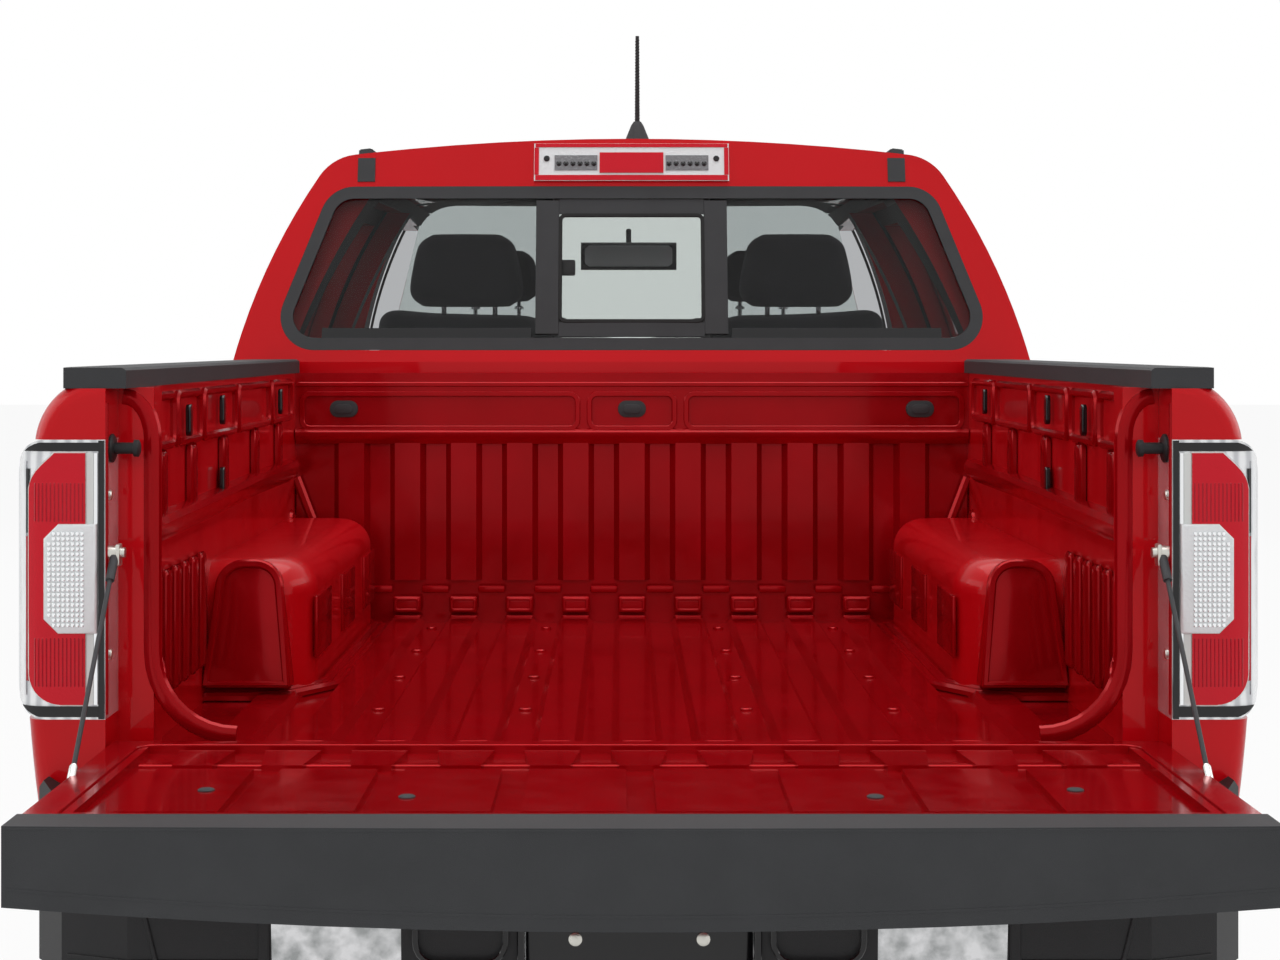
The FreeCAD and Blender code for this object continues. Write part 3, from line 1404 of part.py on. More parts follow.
def make_front_suspension(front_low):
    """Lower and upper arms, coil struts and the steering rack, fixed at ride height."""
    x_pin = float(x_wheel) - float(v.kingpin_inset)
    x_in = float(x_frame)
    y, z = float(y_front_axle), float(z_axle)
    z_low, z_high = z - 120, z + 175
    pieces = []
    lower = (z_low, 190, x_in - 20, float(front_low) - 26, 20)
    upper = (z_high, 110, x_in + 26, float(front_low) + 100, 13)
    for z_pin, spread, root_x, root_z, radius in (lower, upper):
        for sign in (1, -1):
            pieces.append(tube([(root_x, y + sign * spread, root_z), (x_pin, y, z_pin)], radius))
        pieces.append(Part.makeCylinder(22, 36, Vector(x_pin, y, z_pin - 18)))
        bush = Part.makeCylinder(26, 2 * spread + 60, Vector(root_x, y - spread - 30, root_z), Vector(0, 1, 0))
        pieces.append(bush)
    arm = pieces[0].multiFuse(pieces[1:])
    share = 120 / (x_pin - x_in + 20)
    z_bar = z_low + (float(front_low) - 26 - z_low) * (1 - share) - 6
    bar = tube([(x_in + 110, y - 130, z_bar), (x_in + 110, y + 130, z_bar)], 16)
    strut_foot = Vector(x_in + 110, y, z_bar)
    strut_top = Vector(x_in + 64, y, z_hood - 225)
    strut = Part.makeCylinder(30, (strut_top - strut_foot).Length, strut_foot, strut_top - strut_foot)
    shelf_side = block(0, FAR, -FAR, FAR, -FAR, z_hood - 225)
    coil = Part.makeCylinder(52, 230, strut_foot + (strut_top - strut_foot) * 0.5, strut_top - strut_foot)
    arm = arm.multiFuse([bar, strut, coil]).common(shelf_side)
    room = Part.makeCylinder(32, z_high - z_low - 36, Vector(x_pin, y, z_low + 18))
    arm = arm.removeSplitter().cut(room)
    return arm, x_pin, z_low, z_high


def make_wheels():
    for end, y in (("front", y_front_axle), ("rear", y_rear_axle)):
        for side, sign in (("left", -1), ("right", 1)):
            wheel = wheel_body()
            move(wheel, sign * x_wheel, y, z_axle)
            tyre = tyre_body()
            move(tyre, sign * x_wheel, y, z_axle)
            if sign < 0:
                wheel.Placement.Rotation = Rotation(Vector(0, 0, 1), 180)
                tyre.Placement.Rotation = Rotation(Vector(0, 0, 1), 180)
            keep(f"{end}_wheel_{side}", wheel)
            keep(f"{end}_tyre_{side}", tyre)


def wheel_body():
    """Cast wheel: rim, dished disc with six windows and a raised centre."""
    wheel = new_body("Wheel")
    half = v.rim_width / 2
    rim = v.rim_radius
    hub = v.hub_radius
    profile = [
        (20, 0), (20, hub), (34, hub + 8), (52, rim - 40), (40, rim - 14), (0 - half - 7, rim - 14),
        (0 - half - 7, rim + 12), (0 - half, rim + 12), (0 - half, rim), (half, rim), (half, rim + 12),
        (half + 7, rim + 12), (half + 7, rim - 2), (78, rim - 24), (66, hub + 4),
        (60, hub - 30), (74, hub - 34), (74, 0),
    ]
    revolve(wheel, "XY_Plane", profile)
    window = pocket(
        wheel, "YZ_Plane",
        [(-26, hub + 14), (26, hub + 14), (62, rim - 34), (-62, rim - 34)],
        10, 90,
    )
    polar(wheel, window, "X_Axis", 6)
    return wheel


def tyre_body():
    tyre = new_body("Tyre")
    seat = v.rim_width / 2
    half = v.tyre_width / 2
    rim, radius = v.rim_radius, v.tyre_radius
    height = radius - rim
    profile = [
        (0 - seat - 7, rim + 12), (0 - half, rim + height * 0.48),
        (20 - half, radius - 12), (34 - half, radius),
        (half - 34, radius), (half - 20, radius - 12), (half, rim + height * 0.48), (seat + 7, rim + 12),
    ]
    revolve(tyre, "XY_Plane", profile)
    return tyre


def make_knuckles(x_pin, z_low, z_high):
    """Steering knuckles: an upright between the ball joints, a stub, and the brake disc."""
    y, z = float(y_front_axle), float(z_axle)
    face_x = float(x_wheel) + 20 - float(v.fit)
    upright_start = Vector(x_pin, y, z_low + 18 + float(v.fit))
    upright = Part.makeCylinder(26, z_high - z_low - 36 - 2 * float(v.fit), upright_start)
    stub = Part.makeCylinder(44, face_x - 14 - x_pin, Vector(x_pin, y, z), Vector(1, 0, 0))
    flange = Part.makeCylinder(float(v.hub_radius) - 8, 14, Vector(face_x - 14, y, z), Vector(1, 0, 0))
    disc = Part.makeCylinder(float(v.disc_radius), 24, Vector(face_x - 62, y, z), Vector(1, 0, 0))
    caliper = block(face_x - 84, face_x - 26, y - 165, y - 95, z - 60, z + 90)
    knuckle = upright.multiFuse([stub, flange, disc, caliper]).removeSplitter()
    solid_feature("front_knuckle_right", knuckle)
    solid_feature("front_knuckle_left", mirror_x(knuckle))


def make_exhaust_and_tank():
    z_pipe = z_frame_bottom - 30
    x = -240
    z_over = z_frame_rear_bottom - 30
    route = [
        (x + 40, y_front_axle - 290, z_frame_top - 20), (x + 40, y_front_axle - 290, z_frame_top - 60),
        (x, y_door - 200, z_pipe), (x, y_rear_door - 300, z_pipe),
        (x, y_rear_axle + 420, z_pipe), (x - 60, y_rear_axle + 160, z_over),
        (x - 60, y_rear_axle - 200, z_over), (x - 140, y_rear_axle - 560, z_over - 40),
        (x - 420, y_rear_axle - 800, z_over - 90),
    ]
    pipe = tube(route, 27)
    muffler = rounded_prism(
        [(x - 90, z_pipe - 70), (x + 90, z_pipe - 70), (x + 90, z_pipe + 60), (x - 90, z_pipe + 60)],
        "y", y_rear_door - 900, y_rear_door - 300, 50,
    )
    hanger = block(0 - x_frame, x, y_rear_door - 960, y_rear_door - 930, z_frame_bottom - 12, z_frame_bottom)
    solid_feature("exhaust", pipe.multiFuse([muffler, hanger]).removeSplitter())

    tank = new_body("Tank")
    low = z_frame_bottom - 40
    inner = x_frame - v.frame_flange
    pad(tank, "XZ_Plane", [
        (inner - 260, low + 30), (inner - 230, low), (inner - 30, low), (inner, low + 30),
        (inner, z_frame_top - 20), (inner - 260, z_frame_top - 20),
    ], y_rear_door - 860, 700)
    keep("fuel_tank", tank)


# Inside the cab


def make_seats():
    """Two front seats and a rear bench, as the plain forms under their covers."""
    z_seat = z_cab_floor
    fronts = []
    for sign in (1, -1):
        fronts += seat_solids(sign * 365, 265, y_rear_door + 190, z_seat, True)
    solid_feature("front_seats", Part.Compound(fronts))
    bench = seat_solids(0, 640, y_quarter + 225, z_seat, False)
    solid_feature("rear_bench", Part.Compound(bench))


def seat_solids(x, half, y_back, z_floor, single):
    """Cushion on its base, leaning back rest, and head rest above it."""
    x0, x1 = x - half, x + half
    def seat_line(y, rise):
        return z_floor + rise + (y - 20) * 0.05
    base = prism(
        [
            (y_back + 60, z_floor), (y_back + 480, z_floor),
            (y_back + 480, seat_line(480, 170) - v.fit), (y_back + 60, seat_line(60, 170) - v.fit),
        ],
        "x", x0 + 85, x1 - 85,
    )
    cushion = rounded_prism(
        [
            (y_back + 20, seat_line(20, 170)), (y_back + 560, seat_line(560, 170)),
            (y_back + 560, seat_line(560, 280)), (y_back + 20, seat_line(20, 280)),
        ],
        "x", x0, x1, 40,
    )
    back = rounded_prism(
        [
            (y_back - 40, seat_line(-40, 280) + v.fit), (y_back + 100, seat_line(100, 280) + v.fit),
            (y_back - 60, z_floor + 880), (y_back - 150, z_floor + 880),
        ],
        "x", x0 + 10, x1 - 10, 38,
    )
    rest_half = 130
    rests = []
    for middle in ((x,) if single else (x - 380, x + 380)):
        rests.append(
            rounded_prism(
                [
                    (y_back - 158, z_floor + 880 + v.fit), (y_back - 58, z_floor + 880 + v.fit),
                    (y_back - 70, z_floor + 1050), (y_back - 150, z_floor + 1050),
                ],
                "x", middle - rest_half, middle + rest_half, 30,
            )
        )
    return [base, cushion, back] + rests


def make_dashboard():
    """Instrument panel across the cab, with a hood over the dials and the column."""
    y_wall = y_cowl - 45
    z_top = z_screen_base + 20
    side_view = [
        (y_wall, z_top - 60), (y_wall - 120, z_top - 5), (y_wall - 330, z_top - 20), (y_wall - 400, z_top - 90),
        (y_wall - 380, z_top - 300), (y_wall - 250, z_top - 365), (y_wall, z_top - 365),
    ]
    inner = run_along_y(cab_section(v.side_wall + v.fit, v.roof_wall), y_wall - 700, y_wall)
    panel = prism(side_view, "x", -FAR, FAR).common(inner)
    console = prism(
        [
            (y_wall - 340, z_cab_floor + 120), (y_wall - 340, z_top - 300),
            (y_wall - 1000, z_cab_floor + 330), (y_wall - 1000, z_cab_floor + 120),
        ],
        "x", -95, 95,
    )
    centre, toward = wheel_place()
    column = Part.makeCylinder(32, 230, centre - toward * (30 + float(v.fit)), -toward)
    panel = panel.multiFuse([console, column]).removeSplitter()
    solid_feature("dashboard", panel)


def wheel_place():
    """Middle of the steering wheel and the way its face looks, up the slanted column."""
    slant = math.radians(25)
    centre = Vector(-365, float(y_cowl) - 45 - 560, float(z_cab_floor) + 525)
    return centre, Vector(0, -math.cos(slant), math.sin(slant))


def make_steering_wheel():
    """Rim, three spokes and boss on a slanted column."""
    rim = Part.makeTorus(178, 14)
    boss = Part.makeCylinder(62, 50, Vector(0, 0, -30))
    spokes = []
    for turn in (0, 180, 270):
        spoke = Part.makeBox(172, 40, 16, Vector(0, -20, -14))
        spoke.rotate(Vector(0, 0, 0), Vector(0, 0, 1), turn)
        spokes.append(spoke)
    wheel = rim.multiFuse([boss] + spokes).removeSplitter()
    centre, toward = wheel_place()
    wheel.Placement = Placement(centre, Rotation(Vector(1, 0, 0), 65))
    solid_feature("steering_wheel", wheel)


def make_trim():
    """Roof ditch mouldings and the cowl, the high brake lamp and the aerial."""
    width, proud = 30, 9
    grown_roof = run_along_y(OUTER.makeOffset2D(proud), y_cab_back, y_cowl)
    strip = grown_roof.cut(run_along_y(OUTER, y_cab_back - 10, y_cowl + 10))
    strip = strip.common(bowed_back()).common(bowed_front())
    x0 = x_ditch - width / 2
    strip = strip.common(block(x0, x0 + width, -FAR, FAR, z_belt, FAR))
    half = x_hood + 20
    cowl_zone = block(-half, half, y_door - 100, y_cowl + 14, z_screen_base - 60, FAR)
    cowl = nose_block().cut(nose_block(30)).common(cowl_zone)
    cowl = largest(cowl.cut(bowed_front()))
    solid_feature("cab_trim", Part.Compound([strip, mirror_x(strip), cowl]))

    lamp_half = 223
    lamp = bowed_back(-8).cut(bowed_back()).common(
        block(-lamp_half, lamp_half, -FAR, FAR, z_roof - 99, z_roof - 12)
    )
    solid_feature("high_brake_lamp", lamp)

    aerial = new_body("Aerial")
    revolve(aerial, "XZ_Plane", [(0, 0), (34, 0), (31, 8), (15, 36), (6, 44), (4.5, 280), (0, 280)], "V_Axis")
    move(aerial, 16, y_cab_back + 420, z_roof)
    keep("aerial", aerial)

    inside = rounded_prism([(-26, -41), (8, -41), (8, 41), (-26, 41)], "x", -142, 142, 15)
    stalk = Part.makeCylinder(8, 190, Vector(0, 6, 0), Vector(0, 0.28, 1))
    mirror = inside.fuse(stalk)
    mirror.Placement = Placement(Vector(0, y_cowl - v.screen_run + 60, z_screen_top - 159), Rotation())
    solid_feature("inside_mirror", largest(mirror.common(hull(OUTER, v.glass_thickness + v.fit, 0))))


def make_mirrors():
    """Door mirrors: a rounded housing on a short arm from the corner of the window."""
    y0 = y_door - 235
    z0 = z_belt - 118
    skin = v.body_half_width
    head_view = [(skin + 22, z0 + 26), (skin + 150, z0 + 10), (skin + 152, z0 + 190), (skin + 30, z0 + 196)]
    housing = rounded_prism(head_view, "y", y0, y0 + 92, 30)
    arm_view = [(skin - 60, y0 + 30), (skin + 50, y0 + 24), (skin + 50, y0 + 70), (skin - 60, y0 + 86)]
    arm = prism(arm_view, "z", z0 + 34, z0 + 74)
    mirror = housing.fuse(arm).cut(run_along_y(OUTER, y_cab_back, y_cowl))
    mirror = largest(mirror.removeSplitter())
    solid_feature("mirror_right", mirror)
    solid_feature("mirror_left", mirror_x(mirror))


make_cab()
make_front_end()
make_front_structure()
make_arch_liners()
make_bed_sides()
make_tail_lamps()
make_bed_floor()
make_bulkhead()
make_rail_caps()
make_tailgate()
make_gate_cables()
make_rear_bumper()
front_low = make_frame()
make_powertrain()
make_rear_axle()
spring = make_leaf_spring()
arm, x_pin, z_low, z_high = make_front_suspension(front_low)
solid_feature("suspension", Part.Compound([spring, mirror_x(spring), arm, mirror_x(arm)]))
make_knuckles(x_pin, z_low, z_high)
make_wheels()
make_exhaust_and_tank()
make_seats()
make_dashboard()
make_steering_wheel()
make_trim()
make_mirrors()

doc.recompute()
for item in doc.Objects:
    if {"Invalid", "Error"} & set(item.State):
        raise RuntimeError(f"{item.Label} failed: {item.getStatusString()}")
os.makedirs("parts", exist_ok=True)
for label, item in parts.items():
    if item.Shape.isNull() or not item.Shape.isValid():
        raise RuntimeError(f"{label} has no valid shape")
    item.Shape.exportStep(f"parts/{label}.step")
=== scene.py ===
import math

import bmesh
import bpy
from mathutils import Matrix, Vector
from mathutils.bvhtree import BVHTree


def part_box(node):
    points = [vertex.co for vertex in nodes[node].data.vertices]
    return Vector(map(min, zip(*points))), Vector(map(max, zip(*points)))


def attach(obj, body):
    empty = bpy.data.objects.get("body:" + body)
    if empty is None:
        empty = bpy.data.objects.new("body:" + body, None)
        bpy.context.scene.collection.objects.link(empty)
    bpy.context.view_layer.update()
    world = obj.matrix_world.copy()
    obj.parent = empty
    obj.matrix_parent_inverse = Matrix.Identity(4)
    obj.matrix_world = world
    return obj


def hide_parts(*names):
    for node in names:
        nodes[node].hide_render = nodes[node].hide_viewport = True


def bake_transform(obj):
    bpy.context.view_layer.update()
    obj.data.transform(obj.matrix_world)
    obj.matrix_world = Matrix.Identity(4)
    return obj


# Pickup truck with a crew cab and its tailgate lowered. Metres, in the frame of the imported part.

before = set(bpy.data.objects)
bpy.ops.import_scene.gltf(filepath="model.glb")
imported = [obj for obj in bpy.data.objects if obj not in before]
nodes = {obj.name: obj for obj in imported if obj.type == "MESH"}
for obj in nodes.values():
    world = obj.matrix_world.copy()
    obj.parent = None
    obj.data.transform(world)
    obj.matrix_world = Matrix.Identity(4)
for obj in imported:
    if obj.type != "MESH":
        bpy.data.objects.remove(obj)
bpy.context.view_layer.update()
GATE = "tailgate_body"
SIDES = (("left", -1), ("right", 1))

# Ways that rays and outer faces look
BEHIND = (0, 1, 0)
AHEAD = (0, -1, 0)
OUTSIDE = (-1, 0, 0)
RIGHT = (1, 0, 0)
UP = (0, 0, 1)
DOWN = (0, 0, -1)

# Where rays start: behind the cab and the gate, ahead of the nose, beside the body, and in the cabin
REAR_Y = -3.0
GATE_Y = -3.4
NOSE_Y = 3.4
SIDE_X = 1.3
CABIN_X = 0.30
CABIN_Y = 0.2
CABIN_Z = 1.5


# Materials

def shader(name, color, rough, metal=0.0, **sockets):
    """Material with one Principled shader; sockets are set by their names."""
    m = bpy.data.materials.new(name)
    m.use_nodes = True
    m.diffuse_color = (*color[:3], 1)
    p = m.node_tree.nodes["Principled BSDF"]
    p.inputs["Base Color"].default_value = (*color[:3], 1)
    p.inputs["Roughness"].default_value = rough
    p.inputs["Metallic"].default_value = metal
    for key, number in sockets.items():
        p.inputs[key.replace("_", " ")].default_value = number
    return m


def texture(m, kind, scale, **settings):
    """Procedural texture on the object's own coordinates."""
    t = m.node_tree
    place = t.nodes.new("ShaderNodeTexCoord")
    node = t.nodes.new(kind)
    node.inputs["Scale"].default_value = scale
    for key, number in settings.items():
        if key in node.inputs:
            node.inputs[key].default_value = number
        else:
            setattr(node, key, number)
    t.links.new(place.outputs["Object"], node.inputs["Vector"])
    return node


def noise(m, scale, detail):
    return texture(m, "ShaderNodeTexNoise", scale, Detail=detail)


def out(node):
    for name in ("Fac", "Distance", "Color"):
        if name in node.outputs:
            return node.outputs[name]


def bump(m, node, strength, distance):
    t = m.node_tree
    b = t.nodes.new("ShaderNodeBump")
    b.inputs["Strength"].default_value = strength
    b.inputs["Distance"].default_value = distance
    t.links.new(out(node), b.inputs["Height"])
    p = t.nodes["Principled BSDF"]
    before = p.inputs["Normal"]
    if before.is_linked:
        t.links.new(before.links[0].from_socket, b.inputs["Normal"])
    t.links.new(b.outputs["Normal"], before)
    return m


def vary(m, node, socket, low, high, low_at=0.3, high_at=0.7):
    """One socket goes from low to high with the texture."""
    t = m.node_tree
    r = t.nodes.new("ShaderNodeValToRGB")

    def rgba(c):
        return (*c[:3], 1) if hasattr(c, "__len__") else (c, c, c, 1)
    r.color_ramp.elements[0].position = low_at
    r.color_ramp.elements[1].position = high_at
    r.color_ramp.elements[0].color = rgba(low)
    r.color_ramp.elements[1].color = rgba(high)
    t.links.new(out(node), r.inputs["Fac"])
    t.links.new(r.outputs["Color"], t.nodes["Principled BSDF"].inputs[socket])
    return m


RED_SHINE = (1.0, 0.16, 0.16, 1.0)


def make_paint():
    m = shader(
        "red_paint", (0.52, 0.001, 0.006), 0.38, Coat_Weight=0.7, Coat_Roughness=0.03, Coat_IOR=1.28,
        Specular_Tint=RED_SHINE,
    )
    vary(m, noise(m, 1.6, 3.0), "Base Color", (0.46, 0.001, 0.004), (0.53, 0.001, 0.006))
    vary(m, noise(m, 9.0, 4.0), "Roughness", 0.32, 0.43)
    return bump(m, noise(m, 420.0, 1.0), 0.02, 0.0003)


def make_shaded_bed_paint():
    """The body's red inside the bed, painted darker as shade that falls inside it, with less clear coat and
    a smoother ground that shows walls and ribs.
    """
    m = shader(
        "bed_paint_shaded", (0.30, 0.001, 0.004), 0.16, 0.24, Coat_Weight=0.2, Coat_Roughness=0.05, Coat_IOR=1.25,
        Specular_Tint=RED_SHINE,
    )
    vary(m, noise(m, 5.0, 6.0), "Base Color", (0.27, 0.001, 0.003), (0.34, 0.001, 0.005))
    vary(m, noise(m, 22.0, 6.0), "Roughness", 0.12, 0.22)
    bump(m, noise(m, 6.0, 2.0), 0.16, 0.006)
    return bump(m, noise(m, 260.0, 2.0), 0.05, 0.0005)


def make_grain(name, color, rough, strength=0.45, **sockets):
    m = shader(name, color, rough, Specular_IOR_Level=0.28, **sockets)
    lighter = [min(1, c * 1.08) for c in color]
    vary(m, noise(m, 14.0, 5.0), "Base Color", [c * 0.93 for c in color], lighter)
    return bump(m, texture(m, "ShaderNodeTexVoronoi", 900.0), strength, 0.0005)


def make_metal(name, color, rough, scratch, scale=60.0):
    m = shader(name, color, rough, 1.0)
    vary(m, noise(m, scale, 6.0), "Roughness", rough * 0.7, rough * 1.5)
    return bump(m, noise(m, scale * 8, 3.0), scratch, 0.0003)


def make_chrome():
    """Bright plated steel, its colour mottled darker and lighter as a painted reflection of the mottled
    ground.
    """
    m = shader("bright_steel", (0.62, 0.63, 0.64), 0.14, 1.0)
    vary(m, noise(m, 34.0, 8.0), "Base Color", (0.30, 0.31, 0.31), (0.66, 0.66, 0.67), 0.36, 0.66)
    vary(m, noise(m, 60.0, 6.0), "Roughness", 0.10, 0.22)
    return bump(m, noise(m, 480.0, 3.0), 0.03, 0.0003)


def make_chassis():
    m = shader("chassis_black", (0.03, 0.03, 0.032), 0.55)
    vary(m, noise(m, 9.0, 8.0), "Base Color", (0.018, 0.018, 0.02), (0.075, 0.06, 0.05), 0.45, 0.8)
    return bump(m, noise(m, 180.0, 4.0), 0.3, 0.001)


def make_tyre():
    m = shader("tyre_rubber", (0.022, 0.022, 0.023), 0.72)
    vary(m, noise(m, 11.0, 6.0), "Base Color", (0.016, 0.016, 0.017), (0.045, 0.043, 0.04))
    return bump(m, noise(m, 600.0, 3.0), 0.3, 0.0005)


def make_glass(name, color):
    m = shader(name, color, 0.0, IOR=1.25, Transmission_Weight=1.0)
    return bump(m, noise(m, 1.5, 0.0), 0.01, 0.001)


def make_lens(name, color, scale, strength, **sockets):
    m = shader(name, color, 0.09, Coat_Weight=0.8, Coat_Roughness=0.02, Coat_IOR=1.3, **sockets)
    return bump(m, texture(m, "ShaderNodeTexVoronoi", scale, distance="CHEBYCHEV"), strength, 0.002)


def make_shell():
    """Clear outer lens over a bright reflector, streaked from top to bottom."""
    m = shader("lamp_shell", (0.66, 0.67, 0.69), 0.10, 0.55, Coat_Weight=1.0, Coat_Roughness=0.02)
    streaks = texture(m, "ShaderNodeTexWave", 16.0, Distortion=2.0, bands_direction="X")
    vary(m, streaks, "Base Color", (0.52, 0.53, 0.55), (0.84, 0.85, 0.86), 0.10, 0.80)
    return m


def make_cloth(name, color, scale=700.0):
    m = shader(name, color, 0.92, Sheen_Weight=0.3, Sheen_Roughness=0.5)
    vary(m, noise(m, 30.0, 6.0), "Base Color", [c * 0.75 for c in color], [c * 1.25 for c in color])
    bump(m, texture(m, "ShaderNodeTexWave", scale, Distortion=1.5, bands_direction="X"), 0.4, 0.0006)
    return bump(m, texture(m, "ShaderNodeTexWave", scale, Distortion=1.5, bands_direction="Z"), 0.4, 0.0006)


PAINT = make_paint()
# The bed's red is the body's red painted darker: painted shade for the inside of the bed
BED_SHADED = make_shaded_bed_paint()
RAIL = make_grain("rail_plastic", (0.034, 0.035, 0.037), 0.62)
BLACK = make_grain("black_plastic", (0.014, 0.014, 0.015), 0.5)
GLOSS_BLACK = make_grain(
    "gloss_black", (0.008, 0.008, 0.009), 0.12, strength=0.03, Coat_Weight=0.5, Coat_IOR=1.3
)
CHROME = make_chrome()
ZINC = make_metal("zinc_steel", (0.62, 0.61, 0.56), 0.32, 0.1, 120.0)
ALLOY = make_metal("wheel_alloy", (0.50, 0.51, 0.53), 0.30, 0.04)
DISC = make_metal("brake_iron", (0.30, 0.29, 0.28), 0.42, 0.15, 90.0)
CHASSIS = make_chassis()
EXHAUST = make_metal("exhaust_steel", (0.30, 0.27, 0.24), 0.5, 0.2, 40.0)
TYRE = make_tyre()
RUBBER = make_grain("seal_rubber", (0.012, 0.012, 0.012), 0.7)
GLASS_DARK = make_glass("dark_glass", (0.42, 0.43, 0.44))
GLASS_PANE = make_glass("slider_glass", (0.66, 0.66, 0.66))
GLASS = make_glass("clear_glass", (0.80, 0.87, 0.84))
LENS_RED = make_lens("red_lens", (0.56, 0.001, 0.014), 260.0, 0.12, Specular_Tint=RED_SHINE)
LENS_DEEP = make_lens("deep_red_lens", (0.36, 0.001, 0.012), 300.0, 0.2, Specular_Tint=RED_SHINE)
LENS_CLEAR = make_lens("clear_lens", (0.74, 0.76, 0.77), 150.0, 0.3)
LENS_AMBER = make_lens("amber_lens", (0.75, 0.22, 0.01), 220.0, 0.4)
BRIGHT = make_lens("bright_strip", (0.66, 0.69, 0.67), 60.0, 0.05)
SMOKED = make_lens("smoked_lens", (0.16, 0.16, 0.17), 180.0, 0.5)
CABLE = make_grain("cable_cover", (0.045, 0.045, 0.048), 0.5)
FERRULE = make_metal("ferrule_steel", (0.70, 0.70, 0.68), 0.25, 0.05, 80.0)
SEAM = make_cloth("seam_thread", (0.10, 0.10, 0.11), 900.0)
SHELL = make_shell()
REFLECTOR = make_metal("reflector", (0.86, 0.87, 0.88), 0.06, 0.02)
CLOTH = make_cloth("seat_cloth", (0.024, 0.024, 0.026))
CARPET = make_cloth("carpet", (0.030, 0.030, 0.031), 400.0)
LINER = make_cloth("roof_liner", (0.12, 0.12, 0.12), 500.0)
TRIM = make_grain("cabin_plastic", (0.022, 0.022, 0.023), 0.6)
MIRROR = make_metal("mirror_glass", (0.80, 0.80, 0.80), 0.02, 0.0)
# Flat grey for the inside mirror's face: a painted reflection in place of a mirror's shine
MIRROR_PAINTED_REFLECTION = shader("mirror_painted_reflection", (0.72, 0.73, 0.74), 0.12)


# Pieces

def cover_with(ob, mat, smooth):
    """One material all over, with sharp edges where faces meet at more than an angle."""
    ob.data.materials.clear()
    ob.data.materials.append(mat)
    for poly in ob.data.polygons:
        poly.use_smooth = True
    ob.data.set_sharp_from_angle(angle=math.radians(smooth))


def finish(ob, mat, body, smooth):
    cover_with(ob, mat, smooth)
    if body:
        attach(ob, body)
    return ob


def from_bmesh(name, bm, mat, body, smooth=35.0):
    mesh = bpy.data.meshes.new(name)
    bm.normal_update()
    bm.to_mesh(mesh)
    bm.free()
    ob = bpy.data.objects.new(name, mesh)
    bpy.context.scene.collection.objects.link(ob)
    return finish(ob, mat, body, smooth)


def recalc(bm):
    bmesh.ops.recalc_face_normals(bm, faces=bm.faces)


def flip_across(bm):
    for vert in bm.verts:
        vert.co.x = -vert.co.x


def to_left(bm):
    """The right side's mesh becomes the left side's."""
    flip_across(bm)
    bmesh.ops.reverse_faces(bm, faces=bm.faces)


def soften(bm, edges, width, segments):
    """Rounded edges; the vertices that they have now come back."""
    return bmesh.ops.bevel(
        bm, geom=list(edges), offset=width, segments=segments, profile=0.5, affect="EDGES"
    )["verts"]


def add_box(bm, lo, hi, bevel, segments=2):
    """Box with rounded edges."""
    lo, hi = Vector(lo), Vector(hi)
    made = bmesh.ops.create_cube(bm, size=1)["verts"]
    size, middle = hi - lo, (lo + hi) / 2
    for vert in made:
        vert.co = Vector((vert.co.x * size.x, vert.co.y * size.y, vert.co.z * size.z))
    if bevel:
        made = set(soften(bm, {e for vert in made for e in vert.link_edges}, bevel, segments))
    for vert in made:
        vert.co += middle


def even_section(half):
    """Section whose other half mirrors this one; half runs from the middle outward."""
    return half[::-1] + [(-x, height) for x, height in half]


def round_section(radius, count):
    angles = [2 * math.pi * i / count for i in range(count)]
    return [(radius * math.cos(a), radius * math.sin(a)) for a in angles]


def add_lathe(bm, profile, origin, axis, segments=28):
    """Turned shape: profile is (radius, height) pairs along the axis."""
    quat = Vector(UP).rotation_difference(Vector(axis))
    rings = []
    for radius, height in profile:
        if radius < 1e-6:
            rings.append([bm.verts.new(quat @ Vector((0, 0, height)) + Vector(origin))])
            continue
        ring = [Vector((x, y, height)) for x, y in round_section(radius, segments)]
        rings.append([bm.verts.new(quat @ spot + Vector(origin)) for spot in ring])
    for low, high in zip(rings, rings[1:]):
        for i in range(segments):
            j = (i + 1) % segments
            if len(low) == 1:
                bm.faces.new((low[0], high[j], high[i]))
            elif len(high) == 1:
                bm.faces.new((low[i], low[j], high[0]))
            else:
                bm.faces.new((low[i], low[j], high[j], high[i]))


def add_sweep(bm, path, section, up, closed=False):
    """Section of (across, out) pairs carried along a path; up is the way out, or one way per point."""
    path = [Vector(p) for p in path]
    count = len(path)
    rings = []
    for i, point in enumerate(path):
        ahead = path[(i + 1) % count] if closed or i < count - 1 else point
        behind = path[i - 1] if closed or i else point
        along = (ahead - behind).normalized()
        outward = Vector(up[i] if hasattr(up[0], "__len__") else up)
        outward = (outward - along * outward.dot(along)).normalized()
        across = along.cross(outward)
        rings.append([bm.verts.new(point + across * a + outward * b) for a, b in section])
    size = len(section)
    pairs = list(zip(rings, rings[1:])) + ([(rings[-1], rings[0])] if closed else [])
    for low, high in pairs:
        for i in range(size):
            j = (i + 1) % size
            bm.faces.new((low[i], low[j], high[j], high[i]))
    if not closed:
        bm.faces.new(rings[0][::-1])
        bm.faces.new(rings[-1])


def bar_section(width, height, soft, sink=0.001):
    """Flat moulding, width across and height out of the surface, with softened upper edges."""
    w, s = width / 2, min(width, height) * soft
    return [(w, -sink), (w, height - s), (w - s, height), (s - w, height), (-w, height - s), (-w, -sink)]


def both(build, name, mat, body="root", smooth=35.0):
    """A piece on each side: build(bm) makes the right one, and the left one is its mirror."""
    for side, sign in SIDES:
        bm = bmesh.new()
        build(bm)
        if sign < 0:
            to_left(bm)
        home = body.replace("SIDE", side)
        from_bmesh(f"{name}_{side}", bm, mat, home, smooth)


def single(build, name, mat, body="root"):
    bm = bmesh.new()
    build(bm)
    from_bmesh(name, bm, mat, body)


